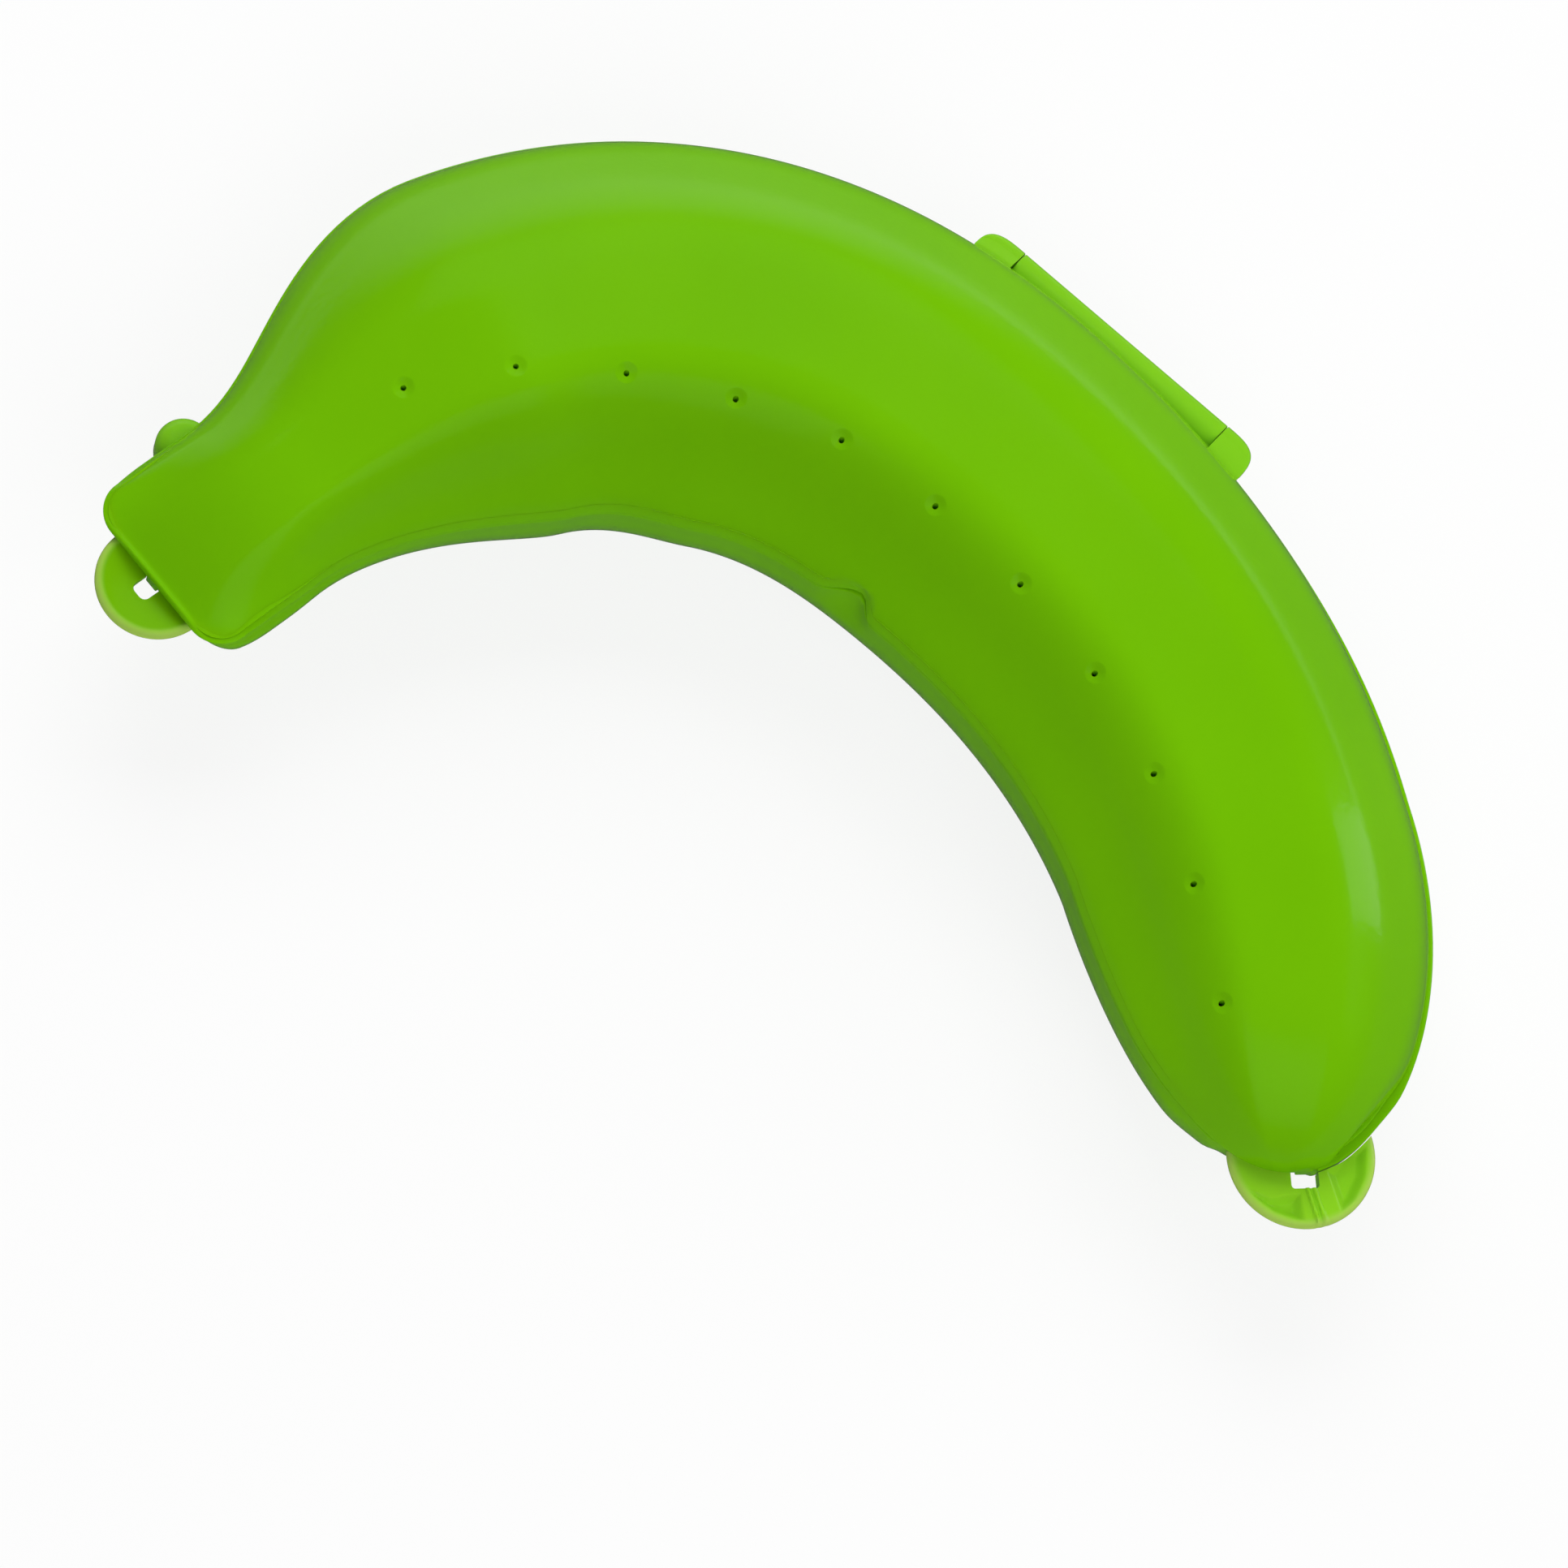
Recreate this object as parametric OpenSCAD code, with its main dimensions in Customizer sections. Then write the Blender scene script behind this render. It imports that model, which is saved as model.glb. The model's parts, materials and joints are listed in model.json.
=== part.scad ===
// Hinged carrying case for one banana, closed, lying on its lower shell.
// The middle line runs from the end of the stem to the tip. The outer curve carries the hinge.

/* [Plan of the case] */
// Length along the middle line, from the end of the stem to the tip
case_len = 246.6; // [236:0.2:260]
// Direction of the stem, measured from the length of the case
stem_heading = 68; // [60:1:75]
// Angle of the bend behind the stem
bend_turn = 74; // [64:1:80]
// Place along the middle line where the bend starts
bend_start = 31; // [26:1:36]
// Place along the middle line where the bend ends
bend_end = 134; // [126:1:142]
// Angle of the long body curve, if it ran on to its end
body_turn = 66.5; // [58:0.5:72]
// Place along the middle line where the body curve starts
body_start = 102; // [96:1:108]
// Place along the middle line where the body curve would end
body_end = 275; // [266:1:284]

/* [Widths] */
// Width of the stem
stem_width = 27.6; // [25:0.2:30]
// Greatest width, at the shoulder behind the stem
shoulder_width = 57.2; // [52:0.2:62]
// Width where the tip starts to round off
tip_width = 49.2; // [45:0.2:53]
// Place along the middle line where the stem starts to widen
neck_at = 18; // [14:1:22]
// Place along the middle line where the shoulder is reached
shoulder_at = 60; // [54:1:66]
// Length of the rounded tip
tip_round = 47.6; // [44:0.2:54]
// Corner radius of the stem's end, seen from above
stem_corner = 4; // [3:0.5:5]
// How far the inner side is drawn in behind the stem
neck_draw_in = 4.4; // [3:0.1:5.5]
// Place along the middle line where it is drawn in most
draw_in_at = 53.5; // [50:0.5:57]
// Reach of the drawn-in stretch to either side
draw_in_reach = 40.5; // [36:0.5:45]

/* [Depths and walls] */
// Height of the lid above its rim, along the body
lid_depth = 18; // [16:0.5:21]
// Height of the lid above its rim, at the stem
lid_stem_depth = 10; // [9:0.5:12]
// Slope of the lid at its rim
lid_rim_slope = 67; // [60:1:74]
// Depth of the lower shell below its rim, along the body
lower_depth = 25; // [22:0.5:28]
// Depth of the lower shell below its rim, at the stem
lower_stem_depth = 13; // [11:0.5:15]
// Straight part of the lower shell's side, as a share of its depth
lower_straight = 0.14; // [0.08:0.01:0.2]
// Length over which the stem's end rounds off
end_round = 9; // [7:0.5:10]
// Wall thickness of both shells
wall = 1.8; // [1.5:0.1:2.2]
// Depth of the flat land that the case rests on
land_depth = 0.4; // [0.3:0.1:0.6]

/* [Rim] */
// Gap between the two rims
rim_gap = 0.2; // [0.1:0.05:0.3]
// How far the lower rim stands out past the lid's rim
rim_overhang = 0.5; // [0.3:0.1:0.8]
// Thickness of the lid's lip outside the tongue
lip = 0.65; // [0.5:0.05:0.8]
// Sideways clearance between the tongue and the lip
tongue_clearance = 0.3; // [0.2:0.05:0.4]
// Height of the lower shell's tongue above the parting plane
tongue_height = 1.5; // [1:0.1:2]

/* [Hinge] */
// Place of the hinge's middle along the middle line
hinge_at = 136.5; // [130:0.5:143]
// Distance of the hinge axis outside the lid's rim
hinge_out = 2.2; // [2:0.1:2.8]
// Distance of the hinge axis below the parting plane
hinge_drop = 2.8; // [2.7:0.1:3.4]
// Turn of the hinge axis from the direction of the middle line
hinge_turn = 0.7; // [0:0.1:1.5]
// Radius of the barrel and of the lid's knuckles
barrel_radius = 2.3; // [2.2:0.1:2.6]
// Length of the lower shell's barrel
barrel_len = 37; // [30:1:42]
// Length of each knuckle on the lid
knuckle_len = 6.5; // [5.5:0.5:8]
// Gap between the barrel and each knuckle
knuckle_gap = 0.3; // [0.2:0.05:0.5]
// Room around a knuckle in the lower shell's rim
knuckle_clearance = 0.35; // [0.3:0.05:0.5]
// Radius of the hinge pin
pin_radius = 1.25; // [1:0.05:1.4]
// Radial clearance of the pin in the barrel and the knuckles
pin_clearance = 0.05; // [0.02:0.01:0.1]
// Depth of the pin in each knuckle
pin_grip = 4.2; // [3.5:0.1:4.5]

/* [Latches] */
// Radius of the round tab at the stem
stem_tab_radius = 8.4; // [8:0.1:9.2]
// Distance of that tab's centre inside the end of the stem
stem_tab_inset = 1.3; // [1:0.1:2]
// Radius of the round tab at the tip
tip_tab_radius = 10.5; // [10:0.1:11.5]
// Distance of that tab's centre inside the edge of the tip
tip_tab_inset = 2.8; // [2.4:0.1:3.4]
// Turn of that tab towards the outer curve
tip_tab_turn = 9.3; // [5:0.1:12]
// Thickness of a tab
tab_thickness = 1.8; // [1.5:0.1:2.2]
// Distance of a tab's top below the parting plane
tab_drop = 0.4; // [0.3:0.1:0.6]
// Gap at the root of a tab
tab_gap = 0.3; // [0.2:0.05:0.4]
// Width of a tab's raised edge
tab_edge = 1.2; // [1:0.1:1.6]
// Depth of the dish inside that edge
tab_dish = 0.5; // [0.3:0.1:0.7]
// Length of a tab's slot
slot_len = 3.4; // [3:0.1:4]
// Reach of a slot outside the lid's edge
slot_reach = 2.3; // [2:0.1:2.8]
// Thickness of the claw on the lid
claw_thickness = 0.7; // [0.5:0.1:0.9]
// Reach of the claw below the parting plane
claw_reach = 3; // [2.5:0.1:3.5]
// Clearance beside the claw
claw_clearance = 0.4; // [0.3:0.05:0.5]

/* [Vents, notch and lug] */
// Number of vents in the lid
vent_count = 11; // [7:1:12]
// Radius of a vent hole
vent_radius = 0.45; // [0.3:0.05:0.7]
// Radius of the round dimple at a vent
dimple_radius = 2; // [1.5:0.1:2.5]
// Depth of that dimple
dimple_depth = 0.5; // [0.3:0.05:0.7]
// Place of the first vent along the middle line
vent_first_at = 41.2; // [40:0.1:46]
// Distance of the row from the middle line, as a share of the half width
vent_row_share = 0.52; // [0.4:0.01:0.6]
// Place where the row leaves the middle line
vent_row_start = 37; // [34:1:40]
// Length over which the row gains its full distance
vent_row_run = 55; // [45:1:65]
// Distance between the first two vents, along the row
vent_pitch = 15.3; // [14.5:0.05:15.5]
// Growth of that distance from vent to vent
vent_growth = 0.13; // [0.05:0.01:0.2]
// Place of the finger notch along the middle line
notch_at = 133.5; // [120:0.5:150]
// Radius of the notch
notch_radius = 9; // [7:0.5:11]
// Depth of the notch in the lid's edge
lid_notch_depth = 1.5; // [1:0.1:1.8]
// Depth of the notch in the lower shell's edge
lower_notch_depth = 0.9; // [0.5:0.1:1.2]
// Place of the lug along the middle line
lug_at = 17.5; // [14:0.5:22]
// Radius of the lug
lug_radius = 4; // [3:0.1:4.5]
// Distance of the lug's top below the parting plane
lug_drop = 1.4; // [1:0.1:2]
// Height of the lug
lug_height = 7; // [5:0.5:8]
// Edge radius of the lug
lug_edge = 1.8; // [1:0.1:2]

/* [Hidden] */
$fn = 64;
case_green = [0.42, 0.72, 0.03];
// Rows of points across the shells: at the stem's end, along the body and around the tip
end_rows = 8;
body_rows = 34;
tip_rows = 10;
rows = end_rows + body_rows + tip_rows;
// Points across a lid section and along the round part of a lower section
lid_points = 17;
lower_points = 19;
line_count = 248;
line_step = case_len / line_count;
tip_start = case_len - tip_round;
// How late the body narrows towards the tip
taper_power = 2.2;
arc_steps = 6;
quarter = 90;
half_turn = 180;
// Room past a cut's own faces, so that it cuts through
past = 1;
// The rims stop half a gap short of the parting plane
rim_z = rim_gap / 2;
tongue_outer = lip + tongue_clearance;
groove_top = tongue_height + claw_clearance;
lid_inner = wall + groove_top / tan(lid_rim_slope);
claw_width = slot_len - 2 * claw_clearance;
claw_root = 0.6;
claw_top = 2.2;
claw_start = 0.05;
claw_room = 4.5;
tab_root = rim_overhang + tab_gap;
case_bottom = rim_z + lower_depth - land_depth;
pin_len = barrel_len + 2 * (knuckle_gap + pin_grip);
knuckle_shift = barrel_len / 2 + knuckle_gap;
web_thickness = 2.4;
web_root = 0.8;
web_reach = 6;
arm_top = 1.2;
arm_root = 0.5;
arm_back = 6;
arm_face = barrel_radius - 0.15;
arm_width = knuckle_len - 1.15 * barrel_radius;
knuckle_round = 72;
lug_root = 1;
rib_width = 0.7;
rib_gap = 1.4;
rib_len = tip_tab_radius - tip_tab_inset - slot_reach - tab_edge / 2;
tab_bottom = -tab_drop - tab_thickness;
tab_back = 2 * stem_tab_radius;

// Smooth step from 0 to 1
function ease(t) = let (u = min(max(t, 0), 1)) u * u * (3 - 2 * u);
function toward(angle) = [cos(angle), sin(angle)];

// Direction of the middle line at a distance s from the stem's end
function heading(s) =
    stem_heading
    - bend_turn * ease((s - bend_start) / (bend_end - bend_start))
    - body_turn * ease((s - body_start) / (body_end - body_start));

middle_line = [
    for (
        i = 0, p = [0, 0];
        i <= line_count;
        p = p + line_step * toward(heading((i + 0.5) * line_step)), i = i + 1
    ) p
];

function middle(s) =
    let (k = min(max(floor(s / line_step), 0), line_count - 1), f = s / line_step - k)
    middle_line[k] * (1 - f) + middle_line[k + 1] * f;

// Plan point at s along the middle line and n to its outer side
function plan(s, n) = middle(s) + n * toward(heading(s) + quarter);

function full_half(s) =
    s < shoulder_at
    ? (stem_width + (shoulder_width - stem_width) * ease((s - neck_at) / (shoulder_at - neck_at))) / 2
    : let (t = min((s - shoulder_at) / (tip_start - shoulder_at), 1))
        (shoulder_width - (shoulder_width - tip_width) * pow(t, taper_power)) / 2;

function draw_in(s) = neck_draw_in * ease(1 - abs(s - draw_in_at) / draw_in_reach);

// Half width on one side, for an outline that lies inset inside the lid's own
function half_width(s, inset, side) =
    let (w = full_half(s) - inset - (side < 0 ? draw_in(s) : 0), c = stem_corner - inset)
    s < stem_corner ? w - c + sqrt(max(0, c * c - pow(stem_corner - s, 2)))
    : s > tip_start ? w * sqrt(max(0, 1 - pow((s - tip_start) / (tip_round - inset), 2)))
    : w;

function row_s(i, inset) =
    i < end_rows ? end_round - (end_round - inset) * cos(quarter * i / end_rows)
    : i < end_rows + body_rows ? end_round + (tip_start - end_round) * (i - end_rows) / body_rows
    : tip_start + (tip_round - inset) * sin(quarter * (i - end_rows - body_rows) / tip_rows);

// Share of the full depth that a row reaches
function row_rise(i) =
    i < end_rows ? sin(quarter * i / end_rows)
    : i < end_rows + body_rows ? 1
    : cos(quarter * (i - end_rows - body_rows) / tip_rows);

function depth_at(s, stem, body) = stem + (body - stem) * ease((s - neck_at) / (shoulder_at - neck_at));

// Sections as [share of the half width, share of the depth], from the inner side to the outer
lid_section = [
    for (j = [0 : lid_points - 1])
    let (a = lid_rim_slope * (2 * j / (lid_points - 1) - 1))
    [sin(a) / sin(lid_rim_slope), (cos(a) - cos(lid_rim_slope)) / (1 - cos(lid_rim_slope))]
];
lower_section = concat(
    [[-1, 0]],
    [
        for (j = [0 : lower_points - 1])
        let (a = half_turn * (1 - j / (lower_points - 1)))
        [cos(a), lower_straight + (1 - lower_straight) * sin(a)]
    ],
    [[1, 0]]
);

function rim_point(i, share, inset) =
    let (s = row_s(i, inset)) plan(s, share * half_width(s, inset, share));

function tip_point(inset) = plan(case_len - inset, 0);

// A closed line at one inset, from the stem along the outer side to the tip and back along the inner side
function outline(inset, section) = concat(
    [for (i = [0 : rows - 1]) rim_point(i, 1, inset)],
    [tip_point(inset)],
    [for (i = [rows - 1 : -1 : 0]) rim_point(i, -1, inset)],
    [for (j = [1 : len(section) - 2]) rim_point(0, section[j].x, inset)]
);

function at_height(line, z) = [for (p = line) [p.x, p.y, z]];

// A curved skin over that outline, as rows of points and the tip's own point
function skin(section, inset, z, stem, body) = concat(
    [
        for (i = [0 : rows - 1])
        let (d = row_rise(i) * depth_at(row_s(i, inset), stem, body))
        for (q = section)
        let (p = rim_point(i, q.x, inset))
        [p.x, p.y, z + d * q.y]
    ],
    [concat(tip_point(inset), [z])]
);

// Number of the skin's point that is the k-th on its outline
function edge_point(k, m) =
    k < rows ? k * m + m - 1
    : k == rows ? rows * m
    : k <= 2 * rows ? (2 * rows - k) * m
    : k - 2 * rows;

function skin_faces(m, first, flip) = concat(
    [
        for (i = [0 : rows - 2])
        for (j = [0 : m - 2])
        let (a = first + i * m + j, b = a + 1, c = b + m, d = a + m)
        each flip ? [[c, b, a], [d, c, a]] : [[a, b, c], [a, c, d]]
    ],
    [
        for (j = [0 : m - 2])
        let (a = first + (rows - 1) * m + j, b = a + 1, tip = first + rows * m)
        flip ? [tip, b, a] : [a, b, tip]
    ]
);

// One moulded shell: an outer skin, the steps of its rim and an inner skin
module shell(section, outer, rim_steps, inner, flip) {
    m = len(section);
    skin_count = rows * m + 1;
    loop_count = 2 * rows + m - 1;
    last = len(rim_steps) + 1;
    inner_first = skin_count + len(rim_steps) * loop_count;
    function step_point(l, k) =
        l == 0 ? edge_point(k, m)
        : l == last ? inner_first + edge_point(k, m)
        : skin_count + (l - 1) * loop_count + k;
    steps = [
        for (l = [0 : last - 1])
        for (k = [0 : loop_count - 1])
        let (
            n = (k + 1) % loop_count,
            a = step_point(l, k),
            b = step_point(l + 1, k),
            c = step_point(l + 1, n),
            d = step_point(l, n)
        )
        each flip ? [[c, b, a], [d, c, a]] : [[a, b, c], [a, c, d]]
    ];
    polyhedron(
        points = concat(outer, [for (loop = rim_steps) each loop], inner),
        faces = concat(skin_faces(m, 0, flip), steps, skin_faces(m, inner_first, !flip)),
        convexity = 10
    );
}

// Everything inside an outline, between two heights
module inside(inset, bottom, top) {
    translate([0, 0, bottom])
        linear_extrude(top - bottom)
            polygon(outline(inset, lid_section));
}

// Frames of the hinge and the two ends: X along the hinge axis, or outwards from an end
hinge_point = plan(hinge_at, half_width(hinge_at, 0, 1) + hinge_out);
hinge_facing = heading(hinge_at) + hinge_turn;
tip_edge_s = tip_start + tip_round * cos(tip_tab_turn);
tip_edge = plan(tip_edge_s, half_width(tip_edge_s, 0, 1));
tip_facing = heading(tip_edge_s) + tip_tab_turn;
stem_facing = stem_heading + half_turn;
module at_hinge() {
    translate([hinge_point.x, hinge_point.y, -hinge_drop])
        rotate(hinge_facing)
            children();
}
module at_stem() {
    rotate(stem_facing) children();
}
module at_tip() {
    translate(tip_edge)
        rotate(tip_facing)
            children();
}

// The case's own frame has its origin under the middle of everything, on the surface it rests on
function circle_points(centre, radius) = [for (a = [0 : arc_steps : 360]) centre + radius * toward(a)];
stem_tab_centre = -stem_tab_inset * toward(stem_facing);
tip_tab_centre = tip_edge - tip_tab_inset * toward(tip_facing);
lug_centre = plan(lug_at, half_width(lug_at, 0, 1));
hinge_side = hinge_point + barrel_radius * toward(hinge_facing + quarter);
reach_points = concat(
    outline(-rim_overhang, lid_section),
    circle_points(stem_tab_centre, stem_tab_radius),
    circle_points(tip_tab_centre, tip_tab_radius),
    circle_points(lug_centre, lug_radius),
    [for (x = [-knuckle_shift, knuckle_shift]) hinge_side + x * toward(hinge_facing)]
);
function middle_of(values) = (min(values) + max(values)) / 2;
case_shift = [
    -middle_of([for (p = reach_points) p.x]),
    -middle_of([for (p = reach_points) p.y]),
    case_bottom
];

// Round bar along X with its far end rounded, up to a small flat
module knuckle() {
    rotate([0, quarter, 0])
        rotate_extrude()
            polygon(concat(
                [[0, 0], [barrel_radius, 0]],
                [
                    for (k = [0 : arc_steps])
                    let (a = knuckle_round * k / arc_steps)
                    [
                        barrel_radius * cos(a),
                        knuckle_len - barrel_radius * (sin(knuckle_round) - sin(a))
                    ]
                ],
                [[0, knuckle_len]]
            ));
}

// Space that a knuckle and its arm need in the lower shell's rim
module knuckle_room() {
    room = barrel_radius + knuckle_clearance;
    translate([knuckle_shift - knuckle_gap / 2, 0, 0])
        rotate([quarter, 0, quarter])
            linear_extrude(knuckle_len + knuckle_gap) {
                circle(r = room);
                translate([-room, 0]) square([room, 2 * room]);
            }
}

// A knuckle with the arm that carries it from the lid's rim
module lid_knuckle() {
    lid_foot = hinge_drop + rim_z;
    difference() {
        union() {
            translate([knuckle_shift, 0, 0]) knuckle();
            translate([knuckle_shift, 0, 0])
                rotate([quarter, 0, quarter])
                    linear_extrude(arm_width)
                        polygon([
                            [0, 0],
                            [-arm_face, 0],
                            [-arm_face, lid_foot],
                            [-arm_back, lid_foot],
                            [-arm_back, lid_foot + arm_top],
                            [-barrel_radius, lid_foot + arm_top],
                            [barrel_radius / 2, barrel_radius / 2]
                        ]);
        }
        translate([knuckle_shift - past, 0, 0])
            rotate([0, quarter, 0])
                cylinder(r = pin_radius + pin_clearance, h = pin_grip + knuckle_gap + past);
    }
}

module claw() {
    translate([claw_start, -claw_width / 2, -claw_reach])
        cube([claw_thickness, claw_width, claw_reach + claw_top]);
    translate([-claw_root, -claw_width / 2, rim_z])
        cube([claw_root + claw_start + past / 2, claw_width, arm_top]);
}

// Plan of a tab's slot, open towards the shell
module slot() {
    corner = slot_reach / 3;
    translate([0, -slot_len / 2]) square([slot_reach - corner, slot_len]);
    translate([slot_reach - corner, -slot_len / 2 + corner]) square([corner, slot_len - 2 * corner]);
    for (side = [-1, 1])
        translate([slot_reach - corner, side * (slot_len / 2 - corner)]) circle(r = corner);
}

// Round dished plate with its slot, in the frame of one end
module tab_plate(radius, inset) {
    top = -tab_drop;
    difference() {
        translate([-inset, 0, top - tab_thickness])
            cylinder(r = radius, h = tab_thickness);
        translate([-inset, 0, top - tab_dish])
            cylinder(r = radius - tab_edge, h = tab_dish + past);
        translate([0, 0, top - tab_thickness - past])
            linear_extrude(tab_thickness + 2 * past)
                slot();
    }
}

// Room for a claw in the end of the lower shell
module claw_pocket() {
    translate([-claw_clearance, -slot_len / 2, -claw_room])
        cube([claw_clearance + rim_overhang + past, slot_len, claw_room + past]);
}

// Side distance of the vent row at s
function vent_side(s) =
    let (t = min(max((s - vent_row_start) / vent_row_run, 0), 1))
    -vent_row_share * (1 - pow(1 - t, 2)) * half_width(s, 0, -1);

// The row as pairs of its own length and the place along the middle line
vent_row = [
    for (
        d = 0, s = vent_first_at;
        s < case_len;
        d = d + norm(plan(s + line_step, vent_side(s + line_step)) - plan(s, vent_side(s))), s = s + line_step
    ) [d, s]
];

function vent_at(k) = lookup(k * vent_pitch + k * (k - 1) / 2 * vent_growth, vent_row);

// Height of the lid over the plan point at s and n
function lid_height(s, n) =
    let (
        b = lid_rim_slope,
        a = asin(n / half_width(s, 0, n) * sin(b)),
        round = s > tip_start ? sqrt(max(0, 1 - pow((s - tip_start) / tip_round, 2))) : 1
    )
    rim_z + round * depth_at(s, lid_stem_depth, lid_depth) * (cos(a) - cos(b)) / (1 - cos(b));

module vents() {
    for (k = [0 : vent_count - 1]) {
        s = vent_at(k);
        n = vent_side(s);
        p = plan(s, n);
        z = lid_height(s, n);
        lean = atan(lid_height(s, n + past) - z);
        translate([p.x, p.y, z]) {
            translate([0, 0, -lid_depth / 2])
                cylinder(r = vent_radius, h = lid_depth);
            rotate(heading(s))
                rotate([lean, 0, 0])
                    translate([0, 0, dimple_radius - dimple_depth])
                        sphere(r = dimple_radius);
        }
    }
}

// Round bite out of the inner rim, for a finger
module notch(depth) {
    p = plan(notch_at, depth - notch_radius - half_width(notch_at, 0, -1));
    translate([p.x, p.y, -past]) sphere(r = notch_radius);
}

module lug() {
    difference() {
        translate([lug_centre.x, lug_centre.y, -lug_drop - lug_height])
            rotate_extrude()
                polygon(concat(
                    [[0, 0], [lug_radius, 0]],
                    [
                        for (k = [0 : arc_steps])
                        let (a = quarter * k / arc_steps)
                        [lug_radius - lug_edge * (1 - cos(a)), lug_height - lug_edge * (1 - sin(a))]
                    ],
                    [[0, lug_height]]
                ));
        inside(lug_root, -lug_drop - lug_height - past, past);
    }
}

// The lower shell's barrel and the web that joins it to the wall
module barrel() {
    difference() {
        at_hinge() {
            translate([-barrel_len / 2, 0, 0])
                rotate([0, quarter, 0])
                    cylinder(r = barrel_radius, h = barrel_len);
            translate([-barrel_len / 2, -web_reach, -web_thickness / 2])
                cube([barrel_len, web_reach, web_thickness]);
        }
        inside(web_root, -hinge_drop - web_thickness, past);
    }
}

module lower_shell() {
    color(case_green)
        translate(case_shift)
            difference() {
                union() {
                    shell(
                        lower_section,
                        skin(lower_section, -rim_overhang, -rim_z, -lower_stem_depth, -lower_depth),
                        [
                            at_height(outline(tongue_outer, lower_section), -rim_z),
                            at_height(outline(tongue_outer, lower_section), tongue_height),
                            at_height(outline(wall, lower_section), tongue_height)
                        ],
                        skin(lower_section, wall, -rim_z, wall - lower_stem_depth, wall - lower_depth),
                        true
                    );
                    barrel();
                    lug();
                }
                at_hinge()
                    translate([-barrel_len / 2 - past, 0, 0])
                        rotate([0, quarter, 0])
                            cylinder(r = pin_radius + pin_clearance, h = barrel_len + 2 * past);
                at_hinge() {
                    knuckle_room();
                    mirror([1, 0, 0]) knuckle_room();
                }
                at_stem() claw_pocket();
                at_tip() claw_pocket();
                notch(lower_notch_depth);
                translate([0, 0, -case_bottom - past])
                    linear_extrude(past)
                        polygon(outline(0, lid_section));
            }
}

module upper_shell() {
    color(case_green)
        translate(case_shift)
            difference() {
                union() {
                    shell(
                        lid_section,
                        skin(lid_section, 0, rim_z, lid_stem_depth, lid_depth),
                        [
                            at_height(outline(lip, lid_section), rim_z),
                            at_height(outline(lip, lid_section), groove_top)
                        ],
                        skin(
                            lid_section,
                            lid_inner,
                            groove_top,
                            lid_stem_depth - wall - groove_top,
                            lid_depth - wall - groove_top
                        ),
                        false
                    );
                    difference() {
                        at_hinge() {
                            lid_knuckle();
                            mirror([1, 0, 0]) lid_knuckle();
                        }
                        inside(arm_root, -past, lid_depth);
                    }
                    at_stem() claw();
                    at_tip() claw();
                }
                vents();
                notch(lid_notch_depth);
            }
}

module hinge_pin() {
    color(case_green)
        translate(case_shift)
            at_hinge()
                translate([-pin_len / 2, 0, 0])
                    rotate([0, quarter, 0])
                        cylinder(r = pin_radius, h = pin_len);
}

module stem_latch_tab() {
    color(case_green)
        translate(case_shift)
            at_stem()
                difference() {
                    tab_plate(stem_tab_radius, stem_tab_inset);
                    translate([tab_root - tab_back, -tab_back / 2, tab_bottom - past])
                        cube([tab_back, tab_back, tab_thickness + 2 * past]);
                }
}

module tip_latch_tab() {
    color(case_green)
        translate(case_shift)
            difference() {
                at_tip() {
                    tab_plate(tip_tab_radius, tip_tab_inset);
                    for (side = [-1, 1])
                        translate([slot_reach, (side * rib_gap - rib_width) / 2, -tab_drop - tab_dish])
                            cube([rib_len, rib_width, tab_dish]);
                }
                inside(-tab_root, tab_bottom - past, past);
            }
}

lower_shell();
upper_shell();
hinge_pin();
stem_latch_tab();
tip_latch_tab();
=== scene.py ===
"""The hinged banana case, dressed: glossy green shells, hinge, lug and latch tabs, in a white studio."""

import json
import math

import bpy
import numpy as np
from mathutils import Matrix, Vector


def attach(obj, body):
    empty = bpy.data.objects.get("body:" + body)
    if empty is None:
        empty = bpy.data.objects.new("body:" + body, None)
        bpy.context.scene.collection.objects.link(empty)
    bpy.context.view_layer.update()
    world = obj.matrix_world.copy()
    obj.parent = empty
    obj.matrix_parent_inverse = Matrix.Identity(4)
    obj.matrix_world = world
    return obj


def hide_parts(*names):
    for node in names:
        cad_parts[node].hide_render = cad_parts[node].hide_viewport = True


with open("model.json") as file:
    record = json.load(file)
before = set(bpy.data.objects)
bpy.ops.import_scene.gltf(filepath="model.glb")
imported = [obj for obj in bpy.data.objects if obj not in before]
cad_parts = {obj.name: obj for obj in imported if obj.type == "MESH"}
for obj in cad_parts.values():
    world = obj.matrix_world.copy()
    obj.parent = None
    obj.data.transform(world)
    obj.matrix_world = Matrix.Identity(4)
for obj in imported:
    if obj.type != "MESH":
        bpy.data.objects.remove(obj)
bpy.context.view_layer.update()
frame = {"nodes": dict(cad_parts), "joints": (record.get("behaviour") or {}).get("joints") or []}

# Sizes and angles that the looks share with the solids, in millimetres and degrees
MM = 0.001
CASE_LEN = 246.6
STEM_HEADING = 68.0
BEND_TURN, BEND_START, BEND_END = 74.0, 31.0, 134.0
BODY_TURN, BODY_START, BODY_END = 66.5, 102.0, 275.0
STEM_HALF, SHOULDER_HALF, TIP_HALF = 13.8, 28.6, 24.6
NECK_AT, SHOULDER_AT = 18.0, 60.0
TAPER_POWER = 2.2
TIP_ROUND = 47.6
TIP_START = CASE_LEN - TIP_ROUND
DRAW_IN, DRAW_IN_AT, DRAW_IN_REACH = 4.4, 53.5, 40.5
LID_DEPTH, LID_STEM_DEPTH, LID_SLOPE = 18.0, 10.0, 67.0
LOWER_DEPTH, LOWER_STEM_DEPTH, LOWER_STRAIGHT = 25.0, 13.0, 0.14
WALL = 1.8
LAND_DEPTH = 0.4
RIM_Z = 0.1
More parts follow.
